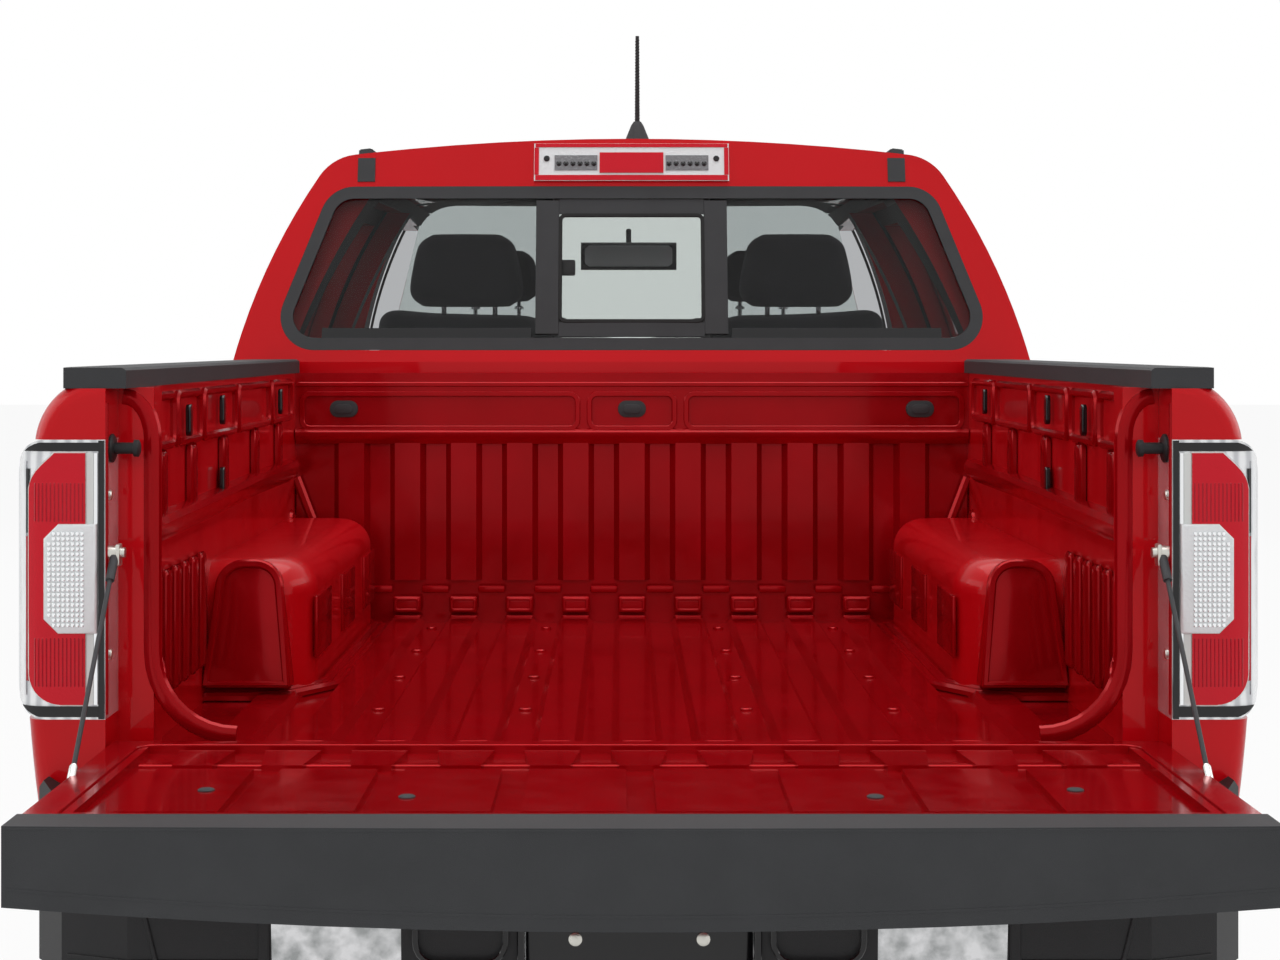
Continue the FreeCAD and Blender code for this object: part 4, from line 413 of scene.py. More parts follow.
def tree_of(*names):
    """Search tree over CAD nodes, for laying trims on their surfaces."""
    verts, faces = [], []
    for name in names:
        mesh = nodes[name].data
        base = len(verts)
        verts += [v.co.copy() for v in mesh.vertices]
        faces += [[base + i for i in p.vertices] for p in mesh.polygons]
    return BVHTree.FromPolygons(verts, faces)


def lay(tree, points, direction):
    """(points, normals) where rays from points meet the surface."""
    spots, normals = [], []
    for point in points:
        hit, normal, _, _ = tree.ray_cast(Vector(point), Vector(direction))
        if hit is None:
            continue
        if normal.dot(Vector(direction)) > 0:
            normal = -normal
        spots.append(hit)
        normals.append(normal)
    return spots, normals


def repaint(name, mat, rule):
    """Faces that the rule picks, by their middle and normal, get another material."""
    mesh = nodes[name].data
    mesh.materials.append(mat)
    index = len(mesh.materials) - 1
    for poly in mesh.polygons:
        if rule(poly.center, poly.normal):
            poly.material_index = index


def dress_nodes():
    plan = {
        "hood": PAINT, "cab_back": PAINT, "cab_roof": PAINT, "cab_sides": PAINT, "front_fenders": PAINT,
        "front_bumper": PAINT, "bed_sides": PAINT, "bed_floor": BED_SHADED, "bed_front_wall": BED_SHADED,
        "tailgate": BED_SHADED, "tailgate_cap": RAIL, "bed_rail_caps": RAIL, "bumper_steps": BLACK,
        "rear_bumper": CHROME, "cab_trim": RAIL, "rear_window_frame": RAIL, "rear_glass": GLASS_DARK,
        "windscreen": GLASS, "tail_lamps": SHELL, "headlamps": LENS_CLEAR, "grille": GLOSS_BLACK,
        "high_brake_lamp": LENS_CLEAR, "frame": CHASSIS, "suspension": CHASSIS, "rear_axle": CHASSIS,
        "powertrain": CHASSIS, "front_structure": CHASSIS, "exhaust": EXHAUST, "fuel_tank": BLACK,
        "arch_liners": BLACK, "cab_floor": CARPET, "front_seats": CLOTH, "rear_bench": CLOTH,
        "dashboard": TRIM, "steering_wheel": BLACK, "inside_mirror": BLACK, "aerial": BLACK,
        "door_seals": RUBBER, "tailgate_cables": BLACK, "front_knuckle_left": DISC,
        "front_knuckle_right": DISC,
    }
    for side, _ in SIDES:
        for end in ("front", "rear"):
            plan[f"{end}_door_{side}"] = PAINT
            plan[f"{end}_door_glass_{side}"] = GLASS if end == "front" else GLASS_DARK
            plan[f"{end}_wheel_{side}"] = ALLOY
            plan[f"{end}_tyre_{side}"] = TYRE
        plan[f"mirror_{side}"] = PAINT
    for name, mat in plan.items():
        cover_with(nodes[name], mat, 30)


dress_nodes()


# Cabin linings: the inner faces of the painted shells

def line_cabin():
    for side, sign in SIDES:
        for end in ("front", "rear"):
            repaint(
                f"{end}_door_{side}", TRIM,
                lambda c, n, s=sign: n.x * s < -0.35 and abs(c.x) < 0.87,
            )
    repaint("cab_sides", TRIM, lambda c, n: n.x * c.x < 0 and abs(n.x) > 0.3 and c.y < 1.45)
    repaint("cab_roof", LINER, lambda c, n: n.z < -0.3)
    repaint("cab_back", TRIM, lambda c, n: n.y > 0.5)
    repaint("cab_floor", CHASSIS, lambda c, n: n.z < -0.2 or n.y > 0.3)


line_cabin()
repaint("rear_glass", GLASS_PANE, lambda c, n: abs(c.x) < 0.19)


# Helpers for pieces laid on a surface

def steps(start, end, count):
    return [start + (end - start) * i / (count - 1) for i in range(count)]


def add_patch(bm, tree, rows, way, lift, thick):
    """Closed thin skin over a surface: rows is a grid of ray starts, way one direction for all."""
    grid = []
    for row in rows:
        line = list(zip(*lay(tree, row, way)))
        if len(line) == len(row):
            grid.append(line)
    if len(grid) < 2:
        return
    top = [[bm.verts.new(h + n * lift) for h, n in line] for line in grid]
    low = [[bm.verts.new(h + n * (lift - thick)) for h, n in line] for line in grid]
    height, width = len(top), len(top[0])
    faces = []
    for r in range(height - 1):
        for c in range(width - 1):
            faces.append(bm.faces.new((top[r][c], top[r][c + 1], top[r + 1][c + 1], top[r + 1][c])))
            faces.append(bm.faces.new((low[r][c], low[r + 1][c], low[r + 1][c + 1], low[r][c + 1])))
    rim = [(0, c) for c in range(width)] + [(r, width - 1) for r in range(1, height)]
    rim += [(height - 1, c) for c in range(width - 2, -1, -1)] + [(r, 0) for r in range(height - 2, 0, -1)]
    for (ra, ca), (rb, cb) in zip(rim, rim[1:] + rim[:1]):
        faces.append(bm.faces.new((top[ra][ca], low[ra][ca], low[rb][cb], top[rb][cb])))
    bmesh.ops.recalc_face_normals(bm, faces=faces)


def cover(tree, x0, x1, z0, z1, columns, rows, lift, thick):
    """Skin on what faces rearward between two places across and two heights."""
    def build(bm):
        grid = [[(x, REAR_Y, z) for x in steps(x0, x1, columns)] for z in steps(z0, z1, rows)]
        add_patch(bm, tree, grid, BEHIND, lift, thick)
    return build


def spot_on(axis):
    return {
        "x": lambda a, b, t: (t, a, b),
        "y": lambda a, b, t: (a, t, b),
        "z": lambda a, b, t: (a, b, t),
    }[axis]


def add_plate(bm, outline, axis, start, end, bevel, segments=2):
    """Flat piece with an outline of pairs, pushed along one axis, with soft edges."""
    spot = spot_on(axis)
    low = [bm.verts.new(spot(a, b, start)) for a, b in outline]
    high = [bm.verts.new(spot(a, b, end)) for a, b in outline]
    faces = [bm.faces.new(low), bm.faces.new(high[::-1])]
    count = len(outline)
    for i in range(count):
        j = (i + 1) % count
        faces.append(bm.faces.new((low[i], high[i], high[j], low[j])))
    bmesh.ops.recalc_face_normals(bm, faces=faces)
    soften(bm, {e for face in faces[:2] for e in face.edges}, bevel, segments)


def rounded(x0, x1, y0, y1, radius, count=5):
    """Outline of a rectangle with round corners."""
    points = []
    left, right, low, high = x0 + radius, x1 - radius, y0 + radius, y1 - radius
    for turn, (cx, cy) in enumerate(((right, high), (left, high), (left, low), (right, low))):
        for i in range(count + 1):
            angle = math.pi / 2 * (turn + i / count)
            points.append((cx + radius * math.cos(angle), cy + radius * math.sin(angle)))
    return points


def add_ring(bm, outline, axis, level, width, height, soft):
    """Bead along a closed outline on a flat face; a negative height stands the other way."""
    spot = spot_on(axis)
    up = spot(0, 0, 1 if height > 0 else -1)
    add_sweep(bm, [spot(a, b, level) for a, b in outline], bar_section(width, abs(height), soft), up, True)


def add_run(bm, tree, points, way, width, height, soft=0.35, closed=False):
    """Moulding that follows a surface under a line of ray starts."""
    spots, normals = lay(tree, points, way)
    if len(spots) > 1:
        add_sweep(bm, spots, bar_section(width, height, soft), normals, closed)


def add_turned(bm, tree, start, way, profile, segments):
    """Turned shape that stands on a surface, where one ray meets it."""
    spots, normals = lay(tree, [start], way)
    if spots:
        add_lathe(bm, profile, spots[0], normals[0], segments)


def dome(radius, foot, rise, count):
    """Profile of a low dome, from its edge to its top."""
    step = math.radians(90 / (count - 1))
    return [(radius * math.cos(i * step), foot + rise * math.sin(i * step)) for i in range(count)]


def add_stud(bm, place, axis, radius, height, segments=18):
    profile = [(radius, -0.001), (radius, height * 0.6), (radius * 0.8, height), (0, height)]
    add_lathe(bm, profile, place, axis, segments)


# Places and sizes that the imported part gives: the lamps' rear plane, the slot beside the gate, the bed's
# inner wall, the axles, the wheelhouse and arch, the ribs and valleys of the bed
TAIL = -2.3605
SLOT = 0.770
WALL = 0.745
FRONT_AXLE = 1.9935
REAR_AXLE = -1.2605
WHEELHOUSE_HALF = 0.4795
ARCH_RADIUS = 0.4600
RIB_PITCH = 0.124
BAY_HALF = 0.743
VALLEY = 0.709

# How soft the edges of pressed beads are, as a share of their lesser side
BEAD_SOFT = 0.45


# Tail lamps

LAMP_OUTER = 0.907
LAMP_CORNER = 0.050


def tail_lamp_pieces():
    tree = tree_of("tail_lamps")
    low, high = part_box("tail_lamps")[0].z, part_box("tail_lamps")[1].z

    def outline(z, gap):
        """Half width of the lamp's outline at a height, less a gap."""
        near = max(0.0, min(z - low, high - z) - gap)
        if near >= LAMP_CORNER:
            return LAMP_OUTER - gap
        return LAMP_OUTER - LAMP_CORNER + math.sqrt(LAMP_CORNER**2 - (LAMP_CORNER - near) ** 2) - gap

    def rows_between(z0, z1, rows):
        """Heights that lie closer together towards both ends."""
        return [z0 + (z1 - z0) * (0.5 - 0.5 * math.cos(math.pi * i / (rows - 1))) for i in range(rows)]

    def over(start, stop, z0, z1, lift, thick=0.004, columns=9, rows=25):
        """Skin on the lamp's rear between two edges, each a number or a function of the height."""
        def edge(side, z):
            return side(z) if callable(side) else side

        def build(bm):
            grid = []
            for z in rows_between(z0, z1, rows):
                grid.append([(x, TAIL - 0.3, z) for x in steps(edge(start, z), edge(stop, z), columns)])
            add_patch(bm, tree, grid, BEHIND, lift, thick)
        return build

    z0, z1 = low + 0.022, high - 0.019

    def red_edge(z):
        """Outer edge of the red lens: cut off at its top corner and round at its bottom one."""
        above, below = max(0.0, z1 - z), max(0.0, z - z0)
        if above < 0.052:
            return 0.842 + 0.036 * math.sin(math.pi / 2 * above / 0.052)
        if below < 0.046:
            return 0.878 - 0.046 + math.sqrt(0.046**2 - (0.046 - below) ** 2)
        return 0.878

    def whole(z):
        return outline(z, 0.003)

    def lens(name, mat, *place, **more):
        both(over(*place, **more), name, mat)

    lens("lamp_edge", GLOSS_BLACK, SLOT + 0.001, 0.7795, low + 0.001, high - 0.001, 0.003)
    lens("lamp_top_edge", GLOSS_BLACK, 0.7795, whole, high - 0.0165, high - 0.004, 0.0032, rows=7)
    lens("lamp_low_edge", GLOSS_BLACK, 0.7795, whole, low + 0.004, low + 0.0195, 0.0032, rows=7)
    lens("lamp_bright_line", REFLECTOR, 0.7805, 0.7855, z0, z1, 0.0045)
    lens("lamp_bright_strip", BRIGHT, 0.7862, 0.7965, z0, z1, 0.0038)
    lens("lamp_rim", BRIGHT, 0.7970, lambda z: red_edge(z) + 0.003, z0 - 0.002, z1 + 0.002, 0.004)
    lens("lamp_red", LENS_RED, 0.7975, red_edge, z0, z1, 0.0062, 0.007, 13, 41)
    lens("lamp_outer", SHELL, 0.8865, lambda z: outline(z, 0.004), z0 + 0.012, z1 - 0.012, 0.0016)
    lens("lamp_dark_line", GLOSS_BLACK, 0.8815, 0.8860, high - 0.135, high - 0.042, 0.0022)
    lens("lamp_red_line", LENS_DEEP, 0.8815, 0.8860, low + 0.055, high - 0.140, 0.0022)

    def ribs(bm):
        for i in range(13):
            x = 0.800 + i * 0.0058
            for za, zb in ((high - 0.118, high - 0.062), (low + 0.048, low + 0.118)):
                hit, _ = lay(tree, [(x, TAIL - 0.3, (za + zb) / 2)], BEHIND)
                y = hit[0].y - 0.0070
                add_box(bm, (x, y, za), (x + 0.0022, y + 0.002, zb), 0.0008, 1)
    both(ribs, "lamp_ribs", LENS_DEEP)

    za, zb = 0.908, 1.066

    def backup(bm):
        outline = [
            (0.7805, za), (0.836, za), (0.857, za + 0.021), (0.857, zb - 0.021), (0.836, zb),
            (0.7805, zb)
        ]
        add_plate(bm, outline, "y", TAIL - 0.0120, TAIL + 0.002, 0.004, 3)
    both(backup, "lamp_backup", LENS_CLEAR)

    def prisms(bm):
        for row in range(19):
            for column in range(8):
                x, z = 0.7975 + column * 0.0068, za + 0.010 + row * 0.0073
                if x > 0.840 and not za + 0.020 < z < zb - 0.026:
                    continue
                add_box(bm, (x, TAIL - 0.0142, z), (x + 0.0056, TAIL - 0.0115, z + 0.0060), 0.0018, 2)
    both(prisms, "lamp_prisms", REFLECTOR)

    def side(bm):
        rows = [
            [(1.2, y, z) for y in steps(TAIL + 0.078, TAIL + 0.176, 7)]
            for z in steps(low + 0.045, high - 0.045, 13)
        ]
        add_patch(bm, tree, rows, OUTSIDE, 0.0015, 0.003)
    both(side, "lamp_side", LENS_RED)


tail_lamp_pieces()


# Rear window, high lamp and aerial

def rear_window_pieces():
    tree = tree_of("rear_glass", "rear_window_frame")
    z0, z1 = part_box("rear_glass")[0].z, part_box("rear_glass")[1].z

    for side, sign in SIDES:
        spots, _ = lay(tree, [(sign * 0.150, REAR_Y, z) for z in steps(z0 + 0.008, z1 - 0.006, 13)], BEHIND)
        path = [(sign * 0.191, spot.y, spot.z) for spot in spots]
        bm = bmesh.new()
        add_sweep(bm, path, bar_section(0.053, 0.004, 0.4, 0.003), AHEAD)
        recalc(bm)
        from_bmesh(f"slider_post_{side}", bm, RAIL, "root")
    bars = (("slider_head", z1 - 0.036, z1 - 0.002), ("slider_sill", z0 + 0.002, z0 + 0.034))
    for name, low, high in bars:
        single(cover(tree, -0.1645, 0.1645, low, high, 21, 4, 0.003, 0.006), name, RAIL)

    def seal(bm):
        outline = rounded(-0.162, 0.162, z0 + 0.037, z1 - 0.039, 0.012, 3)
        add_run(bm, tree, [(x, REAR_Y, z) for x, z in outline], BEHIND, 0.009, 0.0045, closed=True)
    single(seal, "slider_seal", RUBBER)

    def frit(bm):
        for sign in (-1, 1):
            points = [(sign * x, REAR_Y, z0 + 0.010) for x in steps(0.226, 0.70, 22)]
            add_run(bm, tree, points, BEHIND, 0.024, 0.0008)
    single(frit, "window_band", GLOSS_BLACK)

    def latch(bm):
        z = (z0 + z1) / 2
        hit, _ = lay(tree, [(0.14, REAR_Y, z)], BEHIND)
        add_box(bm, (-0.166, hit[0].y + 0.012, z - 0.018), (-0.128, hit[0].y + 0.028, z + 0.018), 0.004)
    single(latch, "slider_latch", BLACK)


def high_lamp_pieces():
    tree = tree_of("high_brake_lamp")
    low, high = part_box("high_brake_lamp")[0].z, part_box("high_brake_lamp")[1].z
    middle = (low + high) / 2

    def lens(name, x0, x1, z0, z1, columns=7, lift=0.002, mat=LENS_RED):
        build = cover(tree, x0, x1, z0, z1, columns, 5, lift, 0.004)
        single(build, f"high_lamp_{name}", mat)

    lens("lower", -0.220, 0.220, low + 0.001, low + 0.013, 15)
    lens("upper", -0.220, 0.220, high - 0.009, high - 0.001, 15)
    for side, sign in SIDES:
        lens(f"end_{side}", *sorted((sign * 0.212, sign * 0.222)), low + 0.014, high - 0.010, 4)
        lens(f"window_{side}", *sorted((sign * 0.078, sign * 0.176)), low + 0.024, high - 0.028, mat=SMOKED)
    lens("red", -0.073, 0.073, low + 0.018, high - 0.022, lift=0.004)

    def dots(bm):
        profile = [(0.0, 0.006), (0.004, 0.005), (0.006, 0.003), (0.006, 0)]
        for sign in (-1, 1):
            for i in range(6):
                start = (sign * (0.086 + i * 0.016), REAR_Y, middle - 0.004)
                add_turned(bm, tree, start, BEHIND, profile, 12)
            spots, normals = lay(tree, [(sign * 0.194, REAR_Y, middle + 0.008)], BEHIND)
            add_stud(bm, spots[0], normals[0], 0.007, 0.004, 14)
        recalc(bm)
    single(dots, "high_lamp_dots", GLOSS_BLACK)


def aerial_piece():
    lo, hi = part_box("aerial")
    middle = (lo + hi) / 2

    def winding(bm):
        turns, each = 30, 10
        count = turns * each
        path, outs = [], []
        for i in range(count + 1):
            angle = 2 * math.pi * i / each
            out_way = Vector((math.cos(angle), math.sin(angle), 0))
            rise = (hi.z - lo.z - 0.060) * i / count
            radius = 0.0058 - 0.0012 * i / count
            path.append(Vector((middle.x, middle.y, lo.z + 0.050 + rise)) + out_way * radius)
            outs.append(out_way)
        add_sweep(bm, path, round_section(0.0011, 5), outs)
    single(winding, "aerial_winding", RUBBER)

    def foot(bm):
        profile = [
            (0.0365, -0.004), (0.0370, 0.004), (0.0345, 0.014), (0.0240, 0.040), (0.0150, 0.062),
            (0.0090, 0.071), (0, 0.072)
        ]
        add_lathe(bm, profile, (middle.x, middle.y, lo.z), UP, 36)
        recalc(bm)
    single(foot, "aerial_foot", RAIL)


def inside_mirror_piece():
    tree = tree_of("inside_mirror")
    lo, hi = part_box("inside_mirror")
    low, high = lo.z + 0.010, lo.z + 0.072

    def face(bm):
        rows = []
        for z in steps(low, high, 9):
            near = min(z - low, high - z)
            short = 0.012 * (1 - min(1.0, near / 0.012)) ** 2
            rows.append([(x, lo.y - 0.2, z) for x in steps(lo.x + 0.012 + short, hi.x - 0.012 - short, 15)])
        add_patch(bm, tree, rows, BEHIND, 0.001, 0.002)
    # The mirror's face is flat grey, a painted reflection
    single(face, "inside_mirror_face", MIRROR_PAINTED_REFLECTION)


rear_window_pieces()
high_lamp_pieces()
aerial_piece()
inside_mirror_piece()


# Bed

def bed_wall_pieces():
    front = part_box("bed_front_wall")[0].y

    def plugs(bm):
        for x in (-0.637, 0, 0.637):
            outer = rounded(x - 0.031, x + 0.031, 1.163, 1.200, 0.018, 8)
            inner = rounded(x - 0.019, x + 0.019, 1.171, 1.192, 0.010, 8)
            add_plate(bm, outer, "y", front - 0.001, front + 0.010, 0.002)
            add_plate(bm, inner, "y", front - 0.004, front, 0.001)
    single(plugs, "bed_wall_plugs", RAIL)

    def header_lines(bm):
        for x0, x1 in ((-0.729, -0.120), (-0.094, 0.094), (0.120, 0.729)):
            add_ring(bm, rounded(x0, x1, 1.139, 1.215, 0.018), "y", front, 0.012, -0.004, BEAD_SOFT)
        path = [(-BAY_HALF, front, 1.236), (BAY_HALF, front, 1.236)]
        add_sweep(bm, path, bar_section(0.010, 0.004, BEAD_SOFT), AHEAD)
    single(header_lines, "bed_header_lines", BED_SHADED)

    def gusset(bm):
        outline = [(0.630, 0.730), (0.744, 0.730), (0.744, 1.020)]
        add_plate(bm, outline, "y", front + 0.004, front + 0.020, 0.004)
        path = [(0.742, front + 0.004, 1.030), (0.630, front + 0.004, 0.738)]
        add_sweep(bm, path, bar_section(0.020, 0.012, BEAD_SOFT), AHEAD)
    both(gusset, "bed_gusset", BED_SHADED)

    def ledge(bm):
        profile = [
            (1.140, 0.002), (1.137, -0.006), (1.131, -0.011), (1.122, -0.011), (1.114, -0.006),
            (1.104, 0.002)
        ]
        ends = [[bm.verts.new((x, front + y, z)) for z, y in profile] for x in (-BAY_HALF, BAY_HALF)]
        count = len(profile)
        for i in range(count):
            j = (i + 1) % count
            bm.faces.new((ends[0][i], ends[0][j], ends[1][j], ends[1][i]))
        bm.faces.new(ends[0])
        bm.faces.new(ends[1])
        recalc(bm)
    single(ledge, "bed_header_ledge", BED_SHADED)

    def foot_band(bm):
        for i in range(-6, 6):
            x = (i + 0.5) * RIB_PITCH
            if abs(x) < 0.70:
                add_box(bm, (x - 0.030, front - 0.010, 0.776), (x + 0.030, front + 0.004, 0.792), 0.004, 2)
    single(foot_band, "bed_foot_band", BED_SHADED)

    def floor_feet(bm):
        for i in range(-5, 6):
            x = i * RIB_PITCH
            add_box(bm, (x - 0.031, front - 0.014, 0.733), (x + 0.031, front + 0.004, 0.769), 0.005, 3)
            face = rounded(x - 0.025, x + 0.025, 0.739, 0.763, 0.006, 3)
            add_ring(bm, face, "y", front - 0.0135, 0.006, -0.003, BEAD_SOFT)
            add_box(bm, (x - 0.031, front - 0.012, 0.712), (x + 0.031, front + 0.002, 0.728), 0.005, 3)
            end = rounded(x - 0.026, x + 0.026, -2.245, -2.215, 0.008, 3)
            add_ring(bm, end, "z", 0.7225, 0.008, 0.003, BEAD_SOFT)
    single(floor_feet, "bed_ridge_ends", BED_SHADED)

    def bolts(bm):
        for x in (-0.434, -0.186, 0.186, 0.434):
            for y in (-2.19, -1.86, -1.52, -1.19, -0.86):
                add_stud(bm, (x, y, VALLEY), UP, 0.011, 0.0045)
        recalc(bm)
    single(bolts, "bed_floor_bolts", BED_SHADED)


def arched(foot_out, foot_in, foot, top_out, top_in, top, radius, count=8):
    """Outline of a tapered panel with a flat foot and two round upper corners."""
    points = [(foot_out, foot), (foot_in, foot)]
    for i in range(count + 1):
        angle = math.pi - math.pi / 2 * i / count
        points.append((top_in + radius + radius * math.cos(angle), top - radius + radius * math.sin(angle)))
    for i in range(count + 1):
        angle = math.pi / 2 - math.pi / 2 * i / count
        points.append((top_out - radius + radius * math.cos(angle), top - radius + radius * math.sin(angle)))
    return points


def bed_side_pieces():
    def recesses(bm):
        ends = ((-2.200, -2.035), (-2.010, -1.825), (-1.795, -1.500), (-1.470, -1.130), (-1.100, -0.850))
        for y0, y1 in ends:
            add_ring(bm, rounded(y0, y1, 1.166, 1.244, 0.014, 4), "x", WALL, 0.014, -0.009, BEAD_SOFT)
    both(recesses, "bed_recesses", BED_SHADED)

    def shelf(bm):
        path = [(WALL, -2.215, 1.040), (WALL, -1.75, 1.045), (WALL, -1.30, 1.052), (WALL, -0.84, 1.052)]
        section = [(0.024, -0.001), (0.020, 0.018), (0.010, 0.024), (-0.006, 0.020), (-0.026, -0.001)]
        add_sweep(bm, path, section, OUTSIDE)
        for y in (-2.13, -1.90, -1.62, -1.30, -1.02):
            add_box(bm, (WALL - 0.012, y - 0.026, 1.055), (WALL + 0.001, y + 0.026, 1.160), 0.010, 3)
    both(shelf, "bed_shelf", BED_SHADED)

    def pleats(bm):
        for i in range(6):
            y = -2.165 + i * 0.068
            add_box(bm, (WALL - 0.013, y - 0.020, 0.775), (WALL + 0.001, y + 0.020, 0.972), 0.009, 3)
    both(pleats, "bed_pleats", BED_SHADED)

    def slots(bm):
        for y, z in ((-1.944, 1.200), (-1.655, 1.208), (-1.655, 1.080), (-1.02, 1.205)):
            outline = rounded(y - 0.010, y + 0.010, z - 0.026, z + 0.026, 0.009, 4)
            add_plate(bm, outline, "x", WALL - 0.0145, WALL - 0.006, 0.001)
    both(slots, "bed_slots", GLOSS_BLACK)

    def rings(bm):
        for y, z in ((-2.205, 0.845), (-0.815, 0.936)):
            path = []
            for i in range(17):
                angle = math.radians(200 * i / 16 + 170)
                sine, cosine = math.sin(angle), math.cos(angle)
                path.append((WALL - 0.014 + 0.010 * sine, y + 0.027 * cosine, z + 0.027 * sine))
            add_sweep(bm, path, round_section(0.004, 8), (0.2, 0.1, 1))
            foot = [(0.028, 0), (0.026, 0.006), (0.012, 0.010), (0, 0.011)]
            add_lathe(bm, foot, (WALL, y, z), OUTSIDE, 24)
        recalc(bm)
    both(rings, "bed_tie_downs", BED_SHADED)

    def wheelhouse(bm):
        rear = REAR_AXLE - WHEELHOUSE_HALF
        face = arched(0.742, 0.597, 0.734, 0.726, 0.614, 0.948, 0.046)
        add_plate(bm, face, "y", rear - 0.006, rear + 0.020, 0.004, 3)
        rim = arched(0.739, 0.601, 0.742, 0.722, 0.618, 0.944, 0.042)
        add_ring(bm, rim, "y", rear - 0.006, 0.014, -0.006, 0.48)
        for vert in bm.verts:
            if vert.co.y < rear + 0.001:
                vert.co.y -= 0.20 * (0.948 - vert.co.z)
        for grow, height in ((0.010, 0.012), (0.030, 0.008)):
            plan = [
                (WALL, rear - grow), (0.668, rear - grow), (0.600, rear + 0.028 - grow),
                (0.565 - grow, rear + 0.10), (0.565 - grow, -0.880), (0.600, -0.808 + grow),
                (0.668, -0.781 + grow),
            ]
            path = [(x, y, 0.712) for x, y in plan]
            add_sweep(bm, path, bar_section(0.022, height + 0.004, BEAD_SOFT), UP)
        for y in (-1.60, -1.26, -0.92):
            add_box(bm, (0.560, y - 0.09, 0.770), (0.567, y + 0.09, 0.880), 0.003, 2)
    both(wheelhouse, "wheelhouse_form", BED_SHADED)

    def opening(bm):
        y = TAIL + 0.0795
        path = []
        for i in range(7):
            angle = math.radians(15 * i)
            path.append((0.7625 - 0.042 * math.sin(angle), y, 1.186 + 0.062 * math.cos(angle)))
        path += [(0.7205, y, z) for z in (1.10, 1.02, 0.94, 0.870)]
        for i in range(1, 10):
            angle = math.radians(10 * i)
            path.append((0.7205 - 0.125 * (1 - math.cos(angle)), y, 0.870 - 0.125 * math.sin(angle)))
        add_sweep(bm, path, even_section([(0.005, 0.0055), (0.011, 0.003), (0.014, -0.002)]), AHEAD)
        edge = [(SLOT, TAIL + 0.004, 1.24), (SLOT, TAIL + 0.004, 0.79)]
        add_sweep(bm, edge, bar_section(0.008, 0.003, BEAD_SOFT), OUTSIDE)
    both(opening, "bed_opening_bead", BED_SHADED)

    def screws(bm):
        for z in (1.105, 0.873):
            add_stud(bm, (SLOT, TAIL + 0.030, z), OUTSIDE, 0.0075, 0.003, 14)
        recalc(bm)
    both(screws, "lamp_screws", ZINC)

    def striker(bm):
        place = (SLOT + 0.001, TAIL + 0.035, 1.173)
        profile = [
            (0.021, 0), (0.021, 0.004), (0.018, 0.006), (0.0085, 0.007), (0.0085, 0.034), (0.0125, 0.035),
            (0.0125, 0.041), (0.009, 0.043), (0, 0.043),
        ]
        add_lathe(bm, profile, place, OUTSIDE, 26)
        recalc(bm)
    both(striker, "gate_striker", BLACK)

    def clevis(bm):
        y, z = TAIL + 0.012, 1.023
        pin = [(0.010, 0), (0.010, 0.014), (0.0075, 0.016), (0.0075, 0.026), (0, 0.027)]
        add_lathe(bm, pin, (SLOT, y, z), OUTSIDE, 20)
        add_box(bm, (SLOT - 0.020, y - 0.010, z - 0.020), (SLOT - 0.013, y + 0.010, z + 0.013), 0.003, 2)
        recalc(bm)
    both(clevis, "cable_clevis", ZINC)


bed_wall_pieces()
bed_side_pieces()


# Tailgate and rear bumper

def tailgate_pieces():
    cap = tree_of("tailgate_cap")
    lo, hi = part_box("tailgate")

    def crease(bm):
        points = [(x, GATE_Y, 0.647 + 0.030 * (x / 0.76) ** 2) for x in steps(-0.757, 0.757, 41)]
        add_run(bm, cap, points, BEHIND, 0.0035, 0.0006, BEAD_SOFT)
    single(crease, "cap_line", RAIL, GATE)

    def sheen(bm):
        points = [(x, GATE_Y, hi.z + 0.0015) for x in steps(-0.757, 0.757, 41)]
        add_run(bm, cap, points, BEHIND, 0.003, 0.0006, BEAD_SOFT)
    single(sheen, "cap_edge", RAIL, GATE)

    top = hi.z - 0.002

    def plugs(bm):
        for x, y in ((-0.565, -2.66), (0.565, -2.66), (-0.30, -2.70), (0.30, -2.70)):
            add_stud(bm, (x, y, top - 0.0005), UP, 0.011, 0.003, 20)
        recalc(bm)
    single(plugs, "gate_plugs", RAIL, GATE)

    def grooves(bm):
        for y in (-2.470, -2.815):
            path = [(-0.695, y, top - 0.008), (0.695, y, top - 0.008)]
            add_sweep(bm, path, bar_section(0.014, 0.004, BEAD_SOFT), UP)
        add_ring(bm, rounded(-0.722, 0.722, -2.838, -2.368, 0.03), "z", hi.z, 0.010, 0.0025, BEAD_SOFT)
    single(grooves, "gate_beads", BED_SHADED, GATE)

    def latches(bm):
        for sign in (-1, 1):
            a, b = sorted((sign * 0.7595, sign * 0.7640))
            add_box(bm, (a, -2.838, 0.697), (b, -2.785, 0.739), 0.002, 2)
    single(latches, "gate_latches", GLOSS_BLACK, GATE)

    def handle(bm):
        y = -2.755
        bowl = rounded(-0.128, 0.128, y - 0.038, y + 0.038, 0.014)
        grip = rounded(-0.095, 0.095, y - 0.020, y + 0.030, 0.010)
        add_plate(bm, bowl, "z", lo.z + 0.004, lo.z + 0.026, 0.004)
        add_plate(bm, grip, "z", lo.z - 0.002, lo.z + 0.008, 0.003)
    single(handle, "gate_handle", BLACK, GATE)

    def lock(bm):
        profile = [(0.012, 0), (0.012, 0.003), (0.010, 0.004), (0, 0.004)]
        add_lathe(bm, profile, (0.112, -2.755, lo.z + 0.004), DOWN, 20)
        recalc(bm)
    single(lock, "gate_lock", ZINC, GATE)


